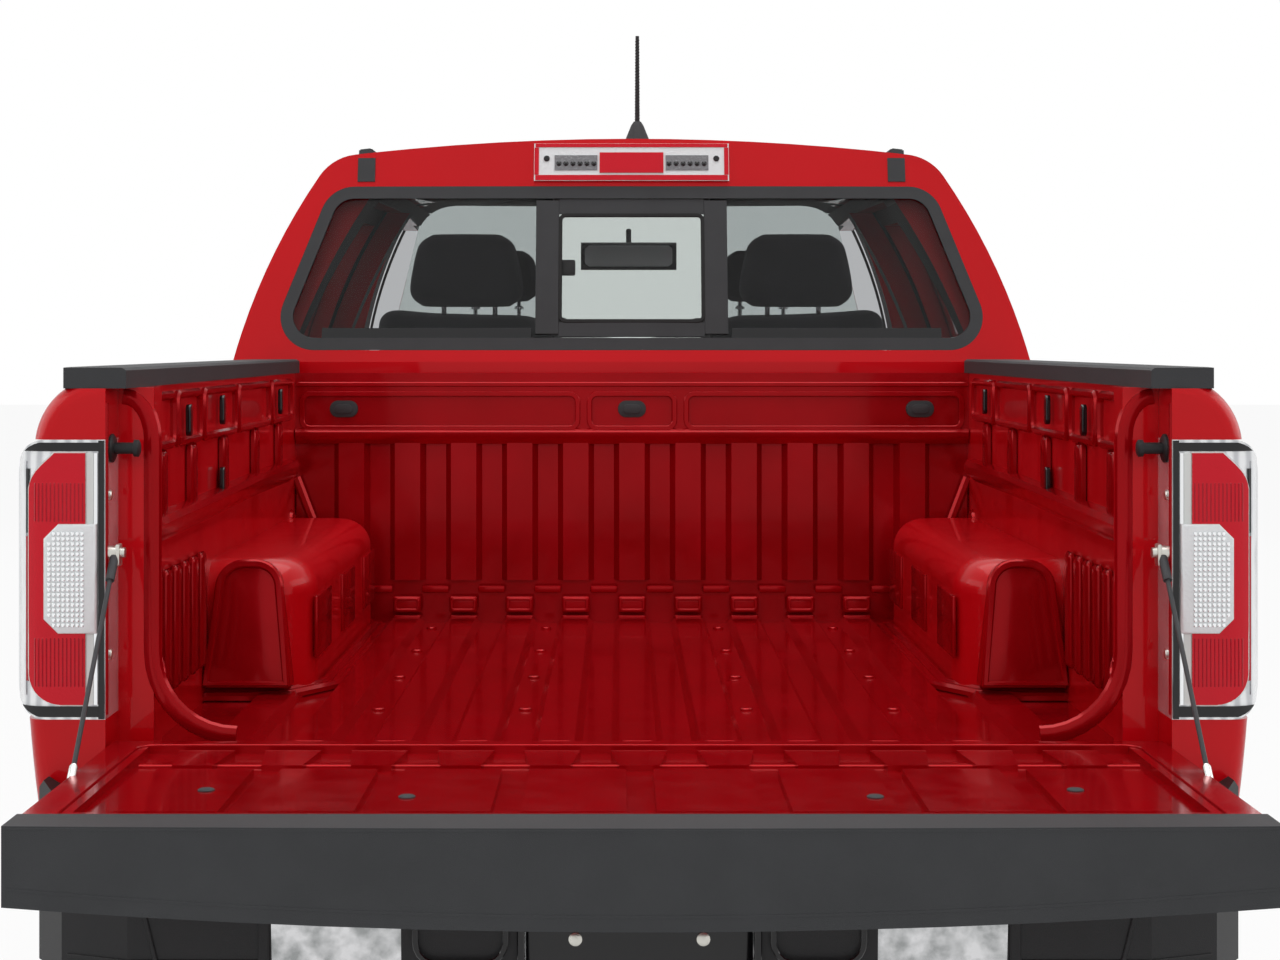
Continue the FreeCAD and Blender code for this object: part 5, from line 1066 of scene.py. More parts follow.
def bumper_pieces():
    y0 = TAIL - 0.128
    top = 0.625

    def pads(bm):
        for i in range(15):
            y = y0 + 0.004 + i * 0.0072
            add_box(bm, (-0.315, y, top - 0.0005), (0.315, y + 0.0036, top + 0.0025), 0.001, 1)
        for sign in (-1, 1):
            for i in range(12):
                y = y0 + 0.012 + i * 0.0088
                a, b = sorted((sign * 0.525, sign * 0.700))
                add_box(bm, (a, y, top - 0.0005), (b, y + 0.0044, top + 0.0025), 0.001, 1)
    single(pads, "step_pads", BLACK)

    def recess(bm):
        add_ring(bm, rounded(-0.164, 0.164, 0.437, 0.563, 0.012), "y", y0 - 0.004, 0.010, -0.003, BEAD_SOFT)
        for x0, x1 in ((-0.310, -0.185), (0.185, 0.310)):
            add_ring(bm, rounded(x0, x1, 0.470, 0.590, 0.030), "y", y0 - 0.005, 0.008, -0.003, BEAD_SOFT)
        add_plate(bm, rounded(-0.158, 0.158, 0.440, 0.560, 0.006), "y", y0 + 0.0165, y0 + 0.0185, 0.0005)
    single(recess, "plate_recess", GLOSS_BLACK)

    def screws(bm):
        profile = [(0.0095, 0), (0.0095, 0.002), (0.006, 0.004), (0, 0.0045)]
        for x in (-0.089, 0.089):
            add_lathe(bm, profile, (x, y0 + 0.0165, 0.498), AHEAD, 20)
        recalc(bm)
    single(screws, "plate_screws", ZINC)

    def plate_lamps(bm):
        for sign in (-1, 1):
            a, b = sorted((sign * 0.100, sign * 0.145))
            add_box(bm, (a, y0 - 0.004, 0.5665), (b, y0 + 0.012, 0.5745), 0.003, 2)
    single(plate_lamps, "plate_lamps", LENS_CLEAR)

    tree = tree_of("bumper_steps")

    def corner(bm):
        for z in (0.470, 0.597):
            level = [(x, REAR_Y, z) for x in steps(0.515, 0.800, 24)]
            add_run(bm, tree, level, BEHIND, 0.006, 0.0025, BEAD_SOFT)
        slant = [(0.700 - 0.030 * i / 9, REAR_Y, 0.592 - 0.120 * i / 9) for i in range(10)]
        add_run(bm, tree, slant, BEHIND, 0.007, 0.003, BEAD_SOFT)
        upright = [(0.520, REAR_Y, z) for z in steps(0.455, 0.600, 10)]
        add_run(bm, tree, upright, BEHIND, 0.016, 0.005, BEAD_SOFT)
    both(corner, "step_corner_lines", BLACK)

    def sensors(bm):
        rear = tree_of("bumper_steps", "rear_bumper")
        profile = [(0.013, 0), (0.013, 0.002), (0.010, 0.003), (0, 0.003)]
        for x in (0.42, 0.62):
            add_turned(bm, rear, (x, REAR_Y, 0.545), BEHIND, profile, 22)
        recalc(bm)
    both(sensors, "parking_sensors", BLACK)


tailgate_pieces()
bumper_pieces()


# Gate cables, between the bed and the gate

def cable_pieces():
    lo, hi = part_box("tailgate_cables")
    top = Vector((0.7585, TAIL + 0.012, hi.z - 0.011))
    foot = Vector((0.7630, lo.y + 0.009, lo.z + 0.009))
    way = (foot - top).normalized()
    for side, sign in SIDES:
        bm = bmesh.new()
        path = [top.lerp(foot, t) for t in steps(0, 1, 41)]
        add_sweep(bm, path, round_section(0.0034, 10), RIGHT)
        sleeve = [top.lerp(foot, t) for t in (0.02, 0.05, 0.11, 0.12)]
        add_sweep(bm, sleeve, round_section(0.0066, 12), RIGHT)
        if sign < 0:
            flip_across(bm)
        recalc(bm)
        rope = from_bmesh(f"gate_cable_{side}", bm, CABLE, None)
        end_fitting = bmesh.new()
        grip = foot - way * 0.058
        ferrule = [(0.0036, 0), (0.0058, 0.004), (0.0058, 0.040), (0.0044, 0.044), (0, 0.046)]
        button = [(0.0095, 0), (0.0095, 0.003), (0.0070, 0.0045), (0, 0.0048)]
        add_lathe(end_fitting, ferrule, grip, way, 18)
        add_lathe(end_fitting, button, foot, RIGHT, 18)
        if sign < 0:
            flip_across(end_fitting)
        recalc(end_fitting)
        from_bmesh(f"cable_ferrule_{side}", end_fitting, FERRULE, GATE)
        start, end = (sign * 0.76, top.y, top.z), (sign * 0.76, foot.y, foot.z)
        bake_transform(rope)
        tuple(start)
        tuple(end)
        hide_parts("tailgate_cables")


cable_pieces()


# Doors

DOORS = (("front", 0.306, 1.385), ("rear", -0.590, 0.299))


def turns_left(a, b, c):
    return (b[0] - a[0]) * (c[1] - a[1]) - (b[1] - a[1]) * (c[0] - a[0]) > 0


def hull_2d(points):
    """Outline around a cloud of pairs."""
    points = sorted(set(points))

    def half(run):
        line = []
        for p in run:
            while len(line) > 1 and not turns_left(line[-2], line[-1], p):
                line.pop()
            line.append(p)
        return line[:-1]
    return half(points) + half(points[::-1])


def inset_line(line, gap):
    """The outline drawn in towards its middle by a gap."""
    middle = Vector((sum(p[0] for p in line) / len(line), sum(p[1] for p in line) / len(line)))
    return [tuple(Vector(p) + (middle - Vector(p)).normalized() * gap) for p in line]


def walk(line, gap):
    """Points at even gaps along a closed outline."""
    spots = []
    for a, b in zip(line, line[1:] + line[:1]):
        a, b = Vector(a), Vector(b)
        count = max(1, int((b - a).length / gap))
        spots += [tuple(a.lerp(b, i / count)) for i in range(count)]
    return spots


def door_pieces(end, y0, y1):
    body = f"{end}_door_SIDE_body"
    skin = tree_of(f"{end}_door_right")
    pane = tree_of(f"{end}_door_glass_right")
    mesh = nodes[f"{end}_door_glass_right"].data
    outline = hull_2d([(round(v.co.y, 4), round(v.co.z, 4)) for v in mesh.vertices])

    def weatherstrip(bm):
        line = walk(inset_line(outline, 0.007), 0.03)
        add_run(bm, pane, [(SIDE_X, y, z) for y, z in line], OUTSIDE, 0.014, 0.004, 0.4, True)
    both(weatherstrip, f"{end}_window_seal", RUBBER, body)

    def belt(bm):
        low = min(z for _, z in outline)
        points = [(SIDE_X, y, low - 0.020) for y in steps(y0 + 0.012, min(y1, 1.30) - 0.012, 20)]
        add_run(bm, skin, points, OUTSIDE, 0.022, 0.007, 0.4)
    both(belt, f"{end}_belt_strip", RAIL, body)

    def handle(bm):
        start, stop, z = y0 + 0.085, y0 + 0.285, 1.075
        spots, normals = lay(skin, [(SIDE_X, y, z) for y in steps(start, stop, 11)], OUTSIDE)
        rise = [0.004, 0.019, 0.030, 0.035, 0.037, 0.037, 0.037, 0.035, 0.030, 0.019, 0.004]
        path = [s + n * r for s, n, r in zip(spots, normals, rise)]
        add_sweep(bm, path, even_section([(0.009, 0.008), (0.015, 0.002), (0.013, -0.004)]), normals)
    both(handle, f"{end}_door_handle", PAINT, body, 50)

    def cup(bm):
        start, stop = y0 + 0.118, y0 + 0.238
        rows = []
        for z in steps(1.052, 1.098, 7):
            shrink = 0.030 * (abs(z - 1.075) / 0.023) ** 3
            rows.append([(SIDE_X, y, z) for y in steps(start + shrink, stop - shrink, 11)])
        add_patch(bm, skin, rows, OUTSIDE, 0.0012, 0.003)
    both(cup, f"{end}_handle_cup", GLOSS_BLACK, body)

    def sill_line(bm):
        points = [(SIDE_X, y, 0.560) for y in steps(y0 + 0.02, y1 - 0.02, 18)]
        add_run(bm, skin, points, OUTSIDE, 0.050, 0.008, 0.35)
    both(sill_line, f"{end}_door_moulding", RAIL, body)

    def pillar(bm):
        ya, yb = (0.309, 0.366) if end == "front" else (0.243, 0.296)
        rows = [[(SIDE_X, y, z) for y in steps(ya, yb, 5)] for z in steps(1.215, 1.640, 13)]
        add_patch(bm, skin, rows, OUTSIDE, 0.0016, 0.003)
    both(pillar, f"{end}_pillar_trim", GLOSS_BLACK, body)

    def armrest(bm):
        spots, _ = lay(skin, [(CABIN_X, y, 0.86) for y in (y0 + 0.18, y0 + 0.40, y0 + 0.62)], RIGHT)
        if len(spots) < 3:
            return
        face = min(s.x for s in spots)
        add_box(bm, (face - 0.048, y0 + 0.14, 0.828), (face + 0.004, y0 + 0.66, 0.884), 0.018, 4)
        add_box(bm, (face - 0.030, y0 + 0.52, 0.884), (face + 0.004, y0 + 0.62, 0.936), 0.010, 3)
        add_box(bm, (face - 0.014, y0 + 0.10, 0.60), (face + 0.004, y0 + 0.70, 0.76), 0.012, 3)
    both(armrest, f"{end}_armrest", TRIM, body)

    def pull(bm):
        spots, _ = lay(skin, [(CABIN_X, y0 + 0.60, 0.99)], RIGHT)
        if not spots:
            return
        face = spots[0].x
        add_ring(bm, rounded(y0 + 0.545, y0 + 0.665, 0.968, 1.018, 0.012), "x", face, 0.009, -0.007, 0.4)
        add_box(bm, (face - 0.016, y0 + 0.560, 0.980), (face - 0.006, y0 + 0.640, 1.006), 0.004, 3)
        for i in range(3):
            y = y0 + 0.30 + i * 0.045
            add_box(bm, (face - 0.052, y, 0.884), (face - 0.030, y + 0.032, 0.890), 0.002, 2)
    both(pull, f"{end}_inner_handle", ZINC, body)


def mirror_pieces():
    skin = tree_of("mirror_right")
    lo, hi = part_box("mirror_right")
    low, high = lo.z + 0.030, hi.z - 0.012

    def glass(bm):
        rows = []
        for z in steps(low, high, 11):
            edge = min(z - low, high - z)
            shrink = 0.020 - math.sqrt(max(0, 0.020**2 - max(0, 0.020 - edge) ** 2))
            rows.append([(x, lo.y - 0.2, z) for x in steps(0.945 + shrink, hi.x - 0.012 - shrink, 11)])
        add_patch(bm, skin, rows, BEHIND, 0.0012, 0.003)
    both(glass, "mirror_glass", MIRROR, "front_door_SIDE_body")

    def rim(bm):
        line = rounded(0.930, hi.x - 0.007, low - 0.005, high + 0.005, 0.022)
        add_run(bm, skin, [(x, lo.y - 0.2, z) for x, z in line], BEHIND, 0.010, 0.006, 0.4, True)
    both(rim, "mirror_rim", BLACK, "front_door_SIDE_body")

    def repeater(bm):
        points = [(x, 2.0, lo.z + 0.075) for x in steps(0.955, hi.x - 0.014, 9)]
        add_run(bm, skin, points, AHEAD, 0.012, 0.004, 0.4)
    both(repeater, "mirror_repeater", LENS_AMBER, "front_door_SIDE_body")


for door in DOORS:
    door_pieces(*door)
mirror_pieces()


# Wheels and tyres

WHEELS = (("front", FRONT_AXLE), ("rear", REAR_AXLE))
HUB_X = 0.792
HUB_Z = 0.3815


def tread_block(bm, turn, sweep, x0, x1, slant, low, high, drop=0.0):
    """One rubber block between two angles and two places across the tyre."""
    corners = []
    for radius_in, radius_out in ((low, low), (high, high - drop)):
        for x, radius, skew in ((x0, radius_in, 0.0), (x1, radius_out, slant)):
            for angle in (turn + skew, turn + skew + sweep):
                corners.append(bm.verts.new((x, -radius * math.sin(angle), radius * math.cos(angle))))
    a, b, c, d, e, f, g, h = corners
    for face in ((e, f, h, g), (a, c, d, b), (a, b, f, e), (c, g, h, d), (a, e, g, c), (b, d, h, f)):
        bm.faces.new(face)


def tyre_mesh(bm):
    """Tyre about the X axis through the origin: casing, sidewall ribs and tread blocks."""
    side = [
        (0.2160, 0.100), (0.2330, 0.109), (0.2420, 0.108), (0.2620, 0.1195), (0.2800, 0.1245),
        (0.3000, 0.1262), (0.3030, 0.1275), (0.3060, 0.1275), (0.3090, 0.1262), (0.3300, 0.1240),
        (0.3450, 0.1205), (0.3560, 0.1160), (0.3665, 0.1085), (0.3715, 0.0990), (0.3735, 0.0850),
        (0.3740, 0.0500), (0.3742, 0.0),
    ]
    profile = [(r, -x) for r, x in side] + [(r, x) for r, x in side[-2::-1]] + [(0.2160, -0.100)]
    add_lathe(bm, profile, (0, 0, 0), RIGHT, 96)
    count = 70
    pitch = 2 * math.pi / count
    rows = ((0.004, 0.034, 0.010), (0.040, 0.070, -0.008))
    for i in range(count):
        turn = i * pitch
        for sign in (-1, 1):
            shift = 0.5 * pitch if sign > 0 else 0
            for x0, x1, slant in rows:
                for part in (0.0, 0.40):
                    at = turn + shift + part * pitch
                    tread_block(bm, at, pitch * 0.36, sign * x0, sign * x1, slant, 0.3725, 0.3812)
            at = turn + shift
            x0, x1 = sign * 0.077, sign * 0.104
            tread_block(bm, at, pitch * 0.66, x0, x1, 0.004, 0.3690, 0.3808, 0.0065)
            x0, x1 = sign * 0.1035, sign * 0.1165
            tread_block(bm, at, pitch * 0.50, x0, x1, 0.0, 0.3560, 0.3735, 0.0120)
    for i in range(140):
        turn = i * math.pi / 70
        for sign in (-1, 1):
            tread_block(bm, turn, 0.009, sign * 0.1255, sign * 0.1268, 0.0, 0.314, 0.322)
    bmesh.ops.remove_doubles(bm, verts=bm.verts, dist=0.00001)
    recalc(bm)


def wheel_mesh(bm, tree, place):
    """Nuts and cap, laid on the wheel's face."""
    for i in range(6):
        angle = math.radians(60 * i + 30)
        y, z = place.y + 0.0699 * math.cos(angle), place.z + 0.0699 * math.sin(angle)
        spots, _ = lay(tree, [(SIDE_X, y, z)], OUTSIDE)
        if spots:
            nut = [(0.0125, -0.004), (0.0125, 0.014), (0.0100, 0.020), (0.0050, 0.023), (0, 0.0235)]
            add_lathe(bm, nut, spots[0], RIGHT, 6)
            add_lathe(bm, [(0.0165, 0), (0.0165, 0.002), (0.0130, 0.003), (0.0130, 0)], spots[0], RIGHT, 20)
    spots, _ = lay(tree, [(SIDE_X, place.y, place.z)], OUTSIDE)
    if spots:
        cap = [(0.036, -0.002), (0.036, 0.004), (0.033, 0.009), (0.024, 0.012), (0.022, 0.0105), (0, 0.0125)]
        add_lathe(bm, cap, spots[0], RIGHT, 36)
    recalc(bm)


def wheel_pieces():
    casing = bmesh.new()
    tyre_mesh(casing)
    pattern = bpy.data.meshes.new("tyre_pattern")
    casing.to_mesh(pattern)
    casing.free()
    for end, y in WHEELS:
        tree = tree_of(f"{end}_wheel_right")
        for side, sign in SIDES:
            body = f"{end}_wheel_{side}_body"
            bm = bmesh.new()
            bm.from_mesh(pattern)
            bmesh.ops.translate(bm, verts=bm.verts, vec=(sign * HUB_X, y, HUB_Z))
            tyre = from_bmesh(f"{end}_tyre_tread_{side}", bm, TYRE, body, 30)
            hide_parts(f"{end}_tyre_{side}")
            bm = bmesh.new()
            wheel_mesh(bm, tree, Vector((HUB_X, y, HUB_Z)))
            if sign < 0:
                to_left(bm)
            from_bmesh(f"{end}_wheel_nuts_{side}", bm, CHROME, body)
    bpy.data.meshes.remove(pattern)


wheel_pieces()


# Body sides, roof and cab back

def arch_line(bm, tree, y, start, stop):
    points = []
    for angle in range(start, stop + 1, 6):
        a = math.radians(angle)
        points.append((SIDE_X, y + ARCH_RADIUS * math.cos(a), HUB_Z + ARCH_RADIUS * math.sin(a)))
    add_run(bm, tree, points, OUTSIDE, 0.016, 0.006, BEAD_SOFT)


def body_pieces():
    fender, side = tree_of("front_fenders"), tree_of("bed_sides")
    both(lambda bm: arch_line(bm, fender, FRONT_AXLE, 12, 168), "front_arch_lip", PAINT)
    both(lambda bm: arch_line(bm, side, REAR_AXLE, 14, 166), "rear_arch_lip", PAINT)

    def ditch_end(bm):
        back = tree_of("cab_back", "cab_roof", "cab_sides")
        rows = [[(x, REAR_Y, z) for x in steps(0.588, 0.628, 4)] for z in steps(1.697, 1.752, 6)]
        add_patch(bm, back, rows, BEHIND, 0.0025, 0.005)
        rows = [[(x, y, 2.2) for x in steps(0.590, 0.624, 4)] for y in steps(-0.600, -0.540, 5)]
        add_patch(bm, tree_of("cab_back", "cab_roof", "cab_sides", "cab_trim"), rows, DOWN, 0.002, 0.005)
    both(ditch_end, "ditch_end", RAIL)

    line = rounded(-1.105, -0.935, 0.985, 1.145, 0.030)
    bm = bmesh.new()
    add_run(bm, side, [(SIDE_X, y, z) for y, z in line], OUTSIDE, 0.004, 0.0012, 0.3, True)
    to_left(bm)
    from_bmesh("fuel_door_line", bm, GLOSS_BLACK, "root")

    def screen_edge(bm):
        glass = tree_of("windscreen")
        rows = []
        for up in (0.012, 0.040, 0.068):
            far = [(x, up + 0.055 * (x / 0.62) ** 2) for x in steps(-0.66, 0.66, 23)]
            rows.append([(x, 1.680 - 0.788 * s, 1.383 + 0.615 * s) for x, s in far])
        add_patch(bm, glass, rows, (0, -0.615, -0.788), 0.001, 0.002)
    single(screen_edge, "screen_lower_band", GLOSS_BLACK)

    def wipers(bm):
        glass = tree_of("windscreen")

        def ray(p):
            return (p[0], 1.495 - 0.751 * p[1] + 0.31, 1.147 + 0.586 * p[1] + 0.39)
        for start, stop in (((0.10, 0.06), (-0.56, 0.10)), ((0.66, 0.05), (0.02, 0.09))):
            a, b = Vector(start), Vector(stop)
            spots, normals = lay(glass, [ray(a.lerp(b, t)) for t in steps(0.03, 1, 16)], (0, -0.62, -0.78))
            if len(spots) < 6:
                continue
            blade = [s + n * 0.003 for s, n in zip(spots, normals)]
            add_sweep(bm, blade, bar_section(0.007, 0.012, 0.4, 0.003), normals)
            rise = [0.016 + 0.012 * math.sin(math.pi * i / 8) for i in range(9)]
            arm = [s + n * r for s, n, r in zip(spots, normals, rise)]
            add_sweep(bm, arm, bar_section(0.016, 0.007, 0.4, 0.002), normals[:9])
            add_stud(bm, spots[0] + normals[0] * 0.006, normals[0], 0.016, 0.020)
    single(wipers, "wipers", BLACK)


body_pieces()


# Nose

LAMP_ROUNDS = (0.640, 0.760)
FOG_LAMP = (0.640, NOSE_Y, 0.430)


def nose_pieces():
    lamp = tree_of("headlamps")
    lo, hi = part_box("headlamps")
    inner, outer = 0.560, 0.868
    level = (lo.z + hi.z) / 2 + 0.006

    def grid(x0, x1, z0, z1, columns, rows):
        return [[(x, NOSE_Y, z) for x in steps(x0, x1, columns)] for z in steps(z0, z1, rows)]

    def housing(bm):
        add_patch(bm, lamp, grid(inner, outer, lo.z + 0.010, hi.z - 0.010, 19, 9), AHEAD, 0.001, 0.002)
    both(housing, "headlamp_housing", GLOSS_BLACK)

    def rings(bm):
        profile = [(0.052, 0), (0.052, 0.006), (0.048, 0.008), (0.042, 0.004), (0.038, 0.0015)]
        for x in LAMP_ROUNDS:
            add_turned(bm, lamp, (x, NOSE_Y, level), AHEAD, profile, 40)
        points = [(x, NOSE_Y, lo.z + 0.016) for x in steps(inner + 0.01, outer - 0.008, 19)]
        add_run(bm, lamp, points, AHEAD, 0.009, 0.005, 0.4)
        recalc(bm)
    both(rings, "headlamp_rings", REFLECTOR)

    def bulbs(bm):
        for x in LAMP_ROUNDS:
            add_turned(bm, lamp, (x, NOSE_Y, level), AHEAD, dome(0.038, 0.0015, 0.012, 10), 36)
        recalc(bm)
    both(bulbs, "headlamp_domes", LENS_CLEAR)

    def turn(bm):
        rows = grid(0.826, outer - 0.004, lo.z + 0.030, hi.z - 0.020, 5, 7)
        add_patch(bm, lamp, rows, AHEAD, 0.0035, 0.003)
    both(turn, "headlamp_turn", LENS_AMBER)

    grille = tree_of("grille")
    box_lo, box_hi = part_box("grille")

    def surround(bm):
        line = rounded(box_lo.x + 0.018, box_hi.x - 0.018, box_lo.z + 0.022, box_hi.z - 0.018, 0.016, 4)
        points = walk(line, 0.035)
        add_run(bm, grille, [(x, NOSE_Y, z) for x, z in points], AHEAD, 0.020, 0.006, 0.4, True)
    single(surround, "grille_surround", CHROME)

    def mesh(bm):
        for i in range(-38, 39):
            x = i * 0.013
            spots, _ = lay(grille, [(x, NOSE_Y, box_lo.z + 0.10)], AHEAD)
            if not spots:
                continue
            back = spots[0].y
            low, high = box_lo.z + 0.044, box_hi.z - 0.040
            add_box(bm, (x - 0.0016, back - 0.004, low), (x + 0.0016, back + 0.004, high), 0, 1)
    single(mesh, "grille_mesh", BLACK)

    bumper = tree_of("front_bumper")

    def lower_mesh(bm):
        for i in range(-32, 33):
            x = i * 0.0130
            add_box(bm, (x - 0.002, 2.842, 0.366), (x + 0.002, 2.850, 0.486), 0, 1)
        for i in range(9):
            z = 0.372 + i * 0.0135
            add_box(bm, (-0.429, 2.838, z - 0.002), (0.429, 2.844, z + 0.002), 0, 1)
    single(lower_mesh, "lower_grille_mesh", BLACK)

    # A gloss black sheet behind the lower grille's bars: painted shade in the opening behind them
    def lower_shade(bm):
        add_box(bm, (-0.436, 2.800, 0.360), (0.436, 2.806, 0.490), 0.002, 1)
    single(lower_shade, "lower_grille_shade_sheet", GLOSS_BLACK)

    def fog(bm):
        rim = [(0.062, -0.004), (0.062, 0.004), (0.056, 0.007), (0.048, 0.005), (0.044, 0.001)]
        add_turned(bm, bumper, FOG_LAMP, AHEAD, rim, 40)
        recalc(bm)
    both(fog, "fog_lamp_rim", GLOSS_BLACK)

    def fog_lens(bm):
        add_turned(bm, bumper, FOG_LAMP, AHEAD, dome(0.046, 0.001, 0.005, 7), 36)
        recalc(bm)
    both(fog_lens, "fog_lamp_lens", LENS_CLEAR)

    def valance(bm):
        for z, width in ((0.318, 0.030), (0.595, 0.012)):
            for side in (-1, 1):
                points = [(side * x, NOSE_Y, z) for x in steps(0.36, 0.80, 21)]
                add_run(bm, bumper, points, AHEAD, width, 0.004, 0.4)
    single(valance, "bumper_lines", RAIL)

    hood = tree_of("hood")

    def jets(bm):
        profile = [(0.012, 0), (0.011, 0.006), (0.007, 0.010), (0, 0.011)]
        for x in (-0.30, 0.30):
            add_turned(bm, hood, (x, 1.62, 2.0), DOWN, profile, 18)
        recalc(bm)
    single(jets, "washer_jets", BLACK, "hood_body")


nose_pieces()


# Cabin

def dash_pieces():
    panel = tree_of("dashboard")

    def vents(bm):
        for x0, x1 in ((-0.740, -0.640), (-0.120, -0.012), (0.012, 0.120), (0.640, 0.740)):
            spots, normals = lay(panel, [((x0 + x1) / 2, CABIN_Y, 1.035)], BEHIND)
            if not spots:
                continue
            y = spots[0].y
            add_ring(bm, rounded(x0, x1, 1.000, 1.070, 0.010), "y", y, 0.009, -0.009, 0.4)
            for i in range(6):
                z = 1.006 + i * 0.0115
                add_box(bm, (x0 + 0.004, y - 0.006, z - 0.002), (x1 - 0.004, y + 0.001, z + 0.002), 0, 1)
    single(vents, "dash_vents", GLOSS_BLACK)

    def screen(bm):
        spots, _ = lay(panel, [(0.0, CABIN_Y, 0.94)], BEHIND)
        y = spots[0].y
        add_plate(bm, rounded(-0.125, 0.125, 0.865, 0.985, 0.010), "y", y - 0.014, y + 0.001, 0.003)
        for x in (-0.155, 0.155):
            add_lathe(bm, [(0.018, 0), (0.017, 0.016), (0.014, 0.018), (0, 0.018)], (x, y, 0.925), AHEAD, 24)
        for i in range(5):
            x = -0.10 + i * 0.042
            add_box(bm, (x, y - 0.010, 0.826), (x + 0.032, y + 0.001, 0.846), 0.003, 2)
        recalc(bm)
    single(screen, "dash_screen", GLOSS_BLACK)

    def dials(bm):
        spots, _ = lay(panel, [(-0.365, CABIN_Y, 1.095)], BEHIND)
        if not spots:
            return
        y = spots[0].y
        half = Vector((0.0012, 0.0008, 0.0012))
        for x in (-0.430, -0.300):
            ring = [(0.047, 0), (0.047, 0.009), (0.043, 0.010), (0.042, 0.002), (0, 0.002)]
            add_lathe(bm, ring, (x, y, 1.085), AHEAD, 36)
            for i in range(9):
                angle = math.radians(-30 + 30 * i)
                a = Vector((x + 0.036 * math.cos(angle), y - 0.004, 1.085 + 0.036 * math.sin(angle)))
                add_box(bm, a - half, a + half, 0, 1)
        recalc(bm)
    single(dials, "dash_dials", SHELL)

    def lever(bm):
        spots, _ = lay(panel, [(0.0, 0.80, CABIN_Z)], DOWN)
        if not spots:
            return
        base, lean = spots[0], (0, -0.15, 1)
        boot = [(0.042, -0.002), (0.036, 0.012), (0.020, 0.030), (0.009, 0.040), (0.007, 0.120)]
        knob = [(0, -0.010), (0.016, -0.006), (0.022, 0.010), (0.021, 0.026), (0.012, 0.036), (0, 0.038)]
        add_lathe(bm, boot, base, lean)
        add_lathe(bm, knob, base + Vector((0, -0.018, 0.118)), lean)
        for y in (0.62, 0.53):
            spots, _ = lay(panel, [(0.0, y, CABIN_Z)], DOWN)
            if spots:
                add_lathe(bm, [(0.040, 0), (0.040, 0.005), (0.036, 0.006), (0.034, 0.001)], spots[0], UP, 32)
        recalc(bm)
    single(lever, "gear_lever", BLACK)

    def pedals(bm):
        for x, w, z in ((-0.300, 0.030, 0.665), (-0.420, 0.055, 0.690)):
            add_box(bm, (x - w, 1.235, z - 0.055), (x + w, 1.250, z + 0.035), 0.006, 3)
            arm = [(x, 1.246, z), (x, 1.31, z + 0.14), (x, 1.40, z + 0.22)]
            add_sweep(bm, arm, bar_section(0.016, 0.008, 0.3, 0.006), AHEAD)
            for i in range(4):
                low = z - 0.045 + i * 0.02
                add_box(bm, (x - w * 0.8, 1.231, low), (x + w * 0.8, 1.236, low + 0.007), 0.001, 1)
    single(pedals, "pedals", BLACK)


dash_pieces()


# Seats, as soft pieces

def settle(ob):
    """The modifiers' result becomes the object's own mesh."""
    old, name = ob.data, ob.data.name
    done = bpy.data.meshes.new_from_object(ob.evaluated_get(bpy.context.evaluated_depsgraph_get()))
    ob.modifiers.clear()
    ob.data = done
    bpy.data.meshes.remove(old)
    done.name = name


def remeshed(bm, name, voxel):
    mesh = bpy.data.meshes.new(name)
    bm.to_mesh(mesh)
    bm.free()
    ob = bpy.data.objects.new(name, mesh)
    bpy.context.scene.collection.objects.link(ob)
    remesh = ob.modifiers.new("grid", "REMESH")
    remesh.mode = "VOXEL"
    remesh.voxel_size = voxel
    settle(ob)
    return ob


def puff(ob, cap):
    """Foam under its cover: cloth with pressure, whose points may move no further than the cap."""
    scene = bpy.context.scene
    before = [v.co.copy() for v in ob.data.vertices]
    cloth = ob.modifiers.new("cover", "CLOTH")
    cloth.settings.use_pressure = True
    cloth.settings.uniform_pressure_force = 4.0
    cloth.settings.effector_weights.gravity = 0
    cloth.point_cache.frame_start = 1
    cloth.point_cache.frame_end = 20
    for frame_number in range(1, 21):
        scene.frame_set(frame_number)
    swollen = ob.evaluated_get(bpy.context.evaluated_depsgraph_get()).to_mesh()
    after = [v.co.copy() for v in swollen.vertices]
    ob.modifiers.remove(cloth)
    scene.frame_set(1)
    for vert, old, new in zip(ob.data.vertices, before, after):
        move = new - old
        if move.length > cap:
            move *= cap / move.length
        vert.co = old + move


def relax(ob, times):
    bm = bmesh.new()
    bm.from_mesh(ob.data)
    for _ in range(times):
        bmesh.ops.smooth_vert(
            bm, verts=bm.verts, factor=0.5, use_axis_x=True, use_axis_y=True, use_axis_z=True
        )
    bm.to_mesh(ob.data)
    bm.free()


def soft(name, lo, hi, form, cap=0.022, voxel=0.014):
    """Mesh of a padded piece: a soft-edged block, given its form, swollen and smoothed."""
    bm = bmesh.new()
    add_box(bm, lo, hi, 0.035, 4)
    ob = remeshed(bm, name, voxel)
    for vert in ob.data.vertices:
        vert.co = form(vert.co)
    puff(ob, cap)
    relax(ob, 3)
    ob.modifiers.new("smooth", "SUBSURF").levels = 1
    settle(ob)
    return ob


def copy_of(ob, name, change):
    twin = bpy.data.objects.new(name, ob.data.copy())
    bpy.context.scene.collection.objects.link(twin)
    for vert in twin.data.vertices:
        vert.co = change(vert.co)
    return twin


def upholster(ob, stands_for):
    finish(ob, CLOTH, "root", 60)
    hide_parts(stands_for)


FLOOR = 0.545
SEAT_X = 0.365
SEAT_HALF = 0.265
BENCH_HALF = 0.640
FRONT_BACK = 0.4895
REAR_BACK = -0.3655


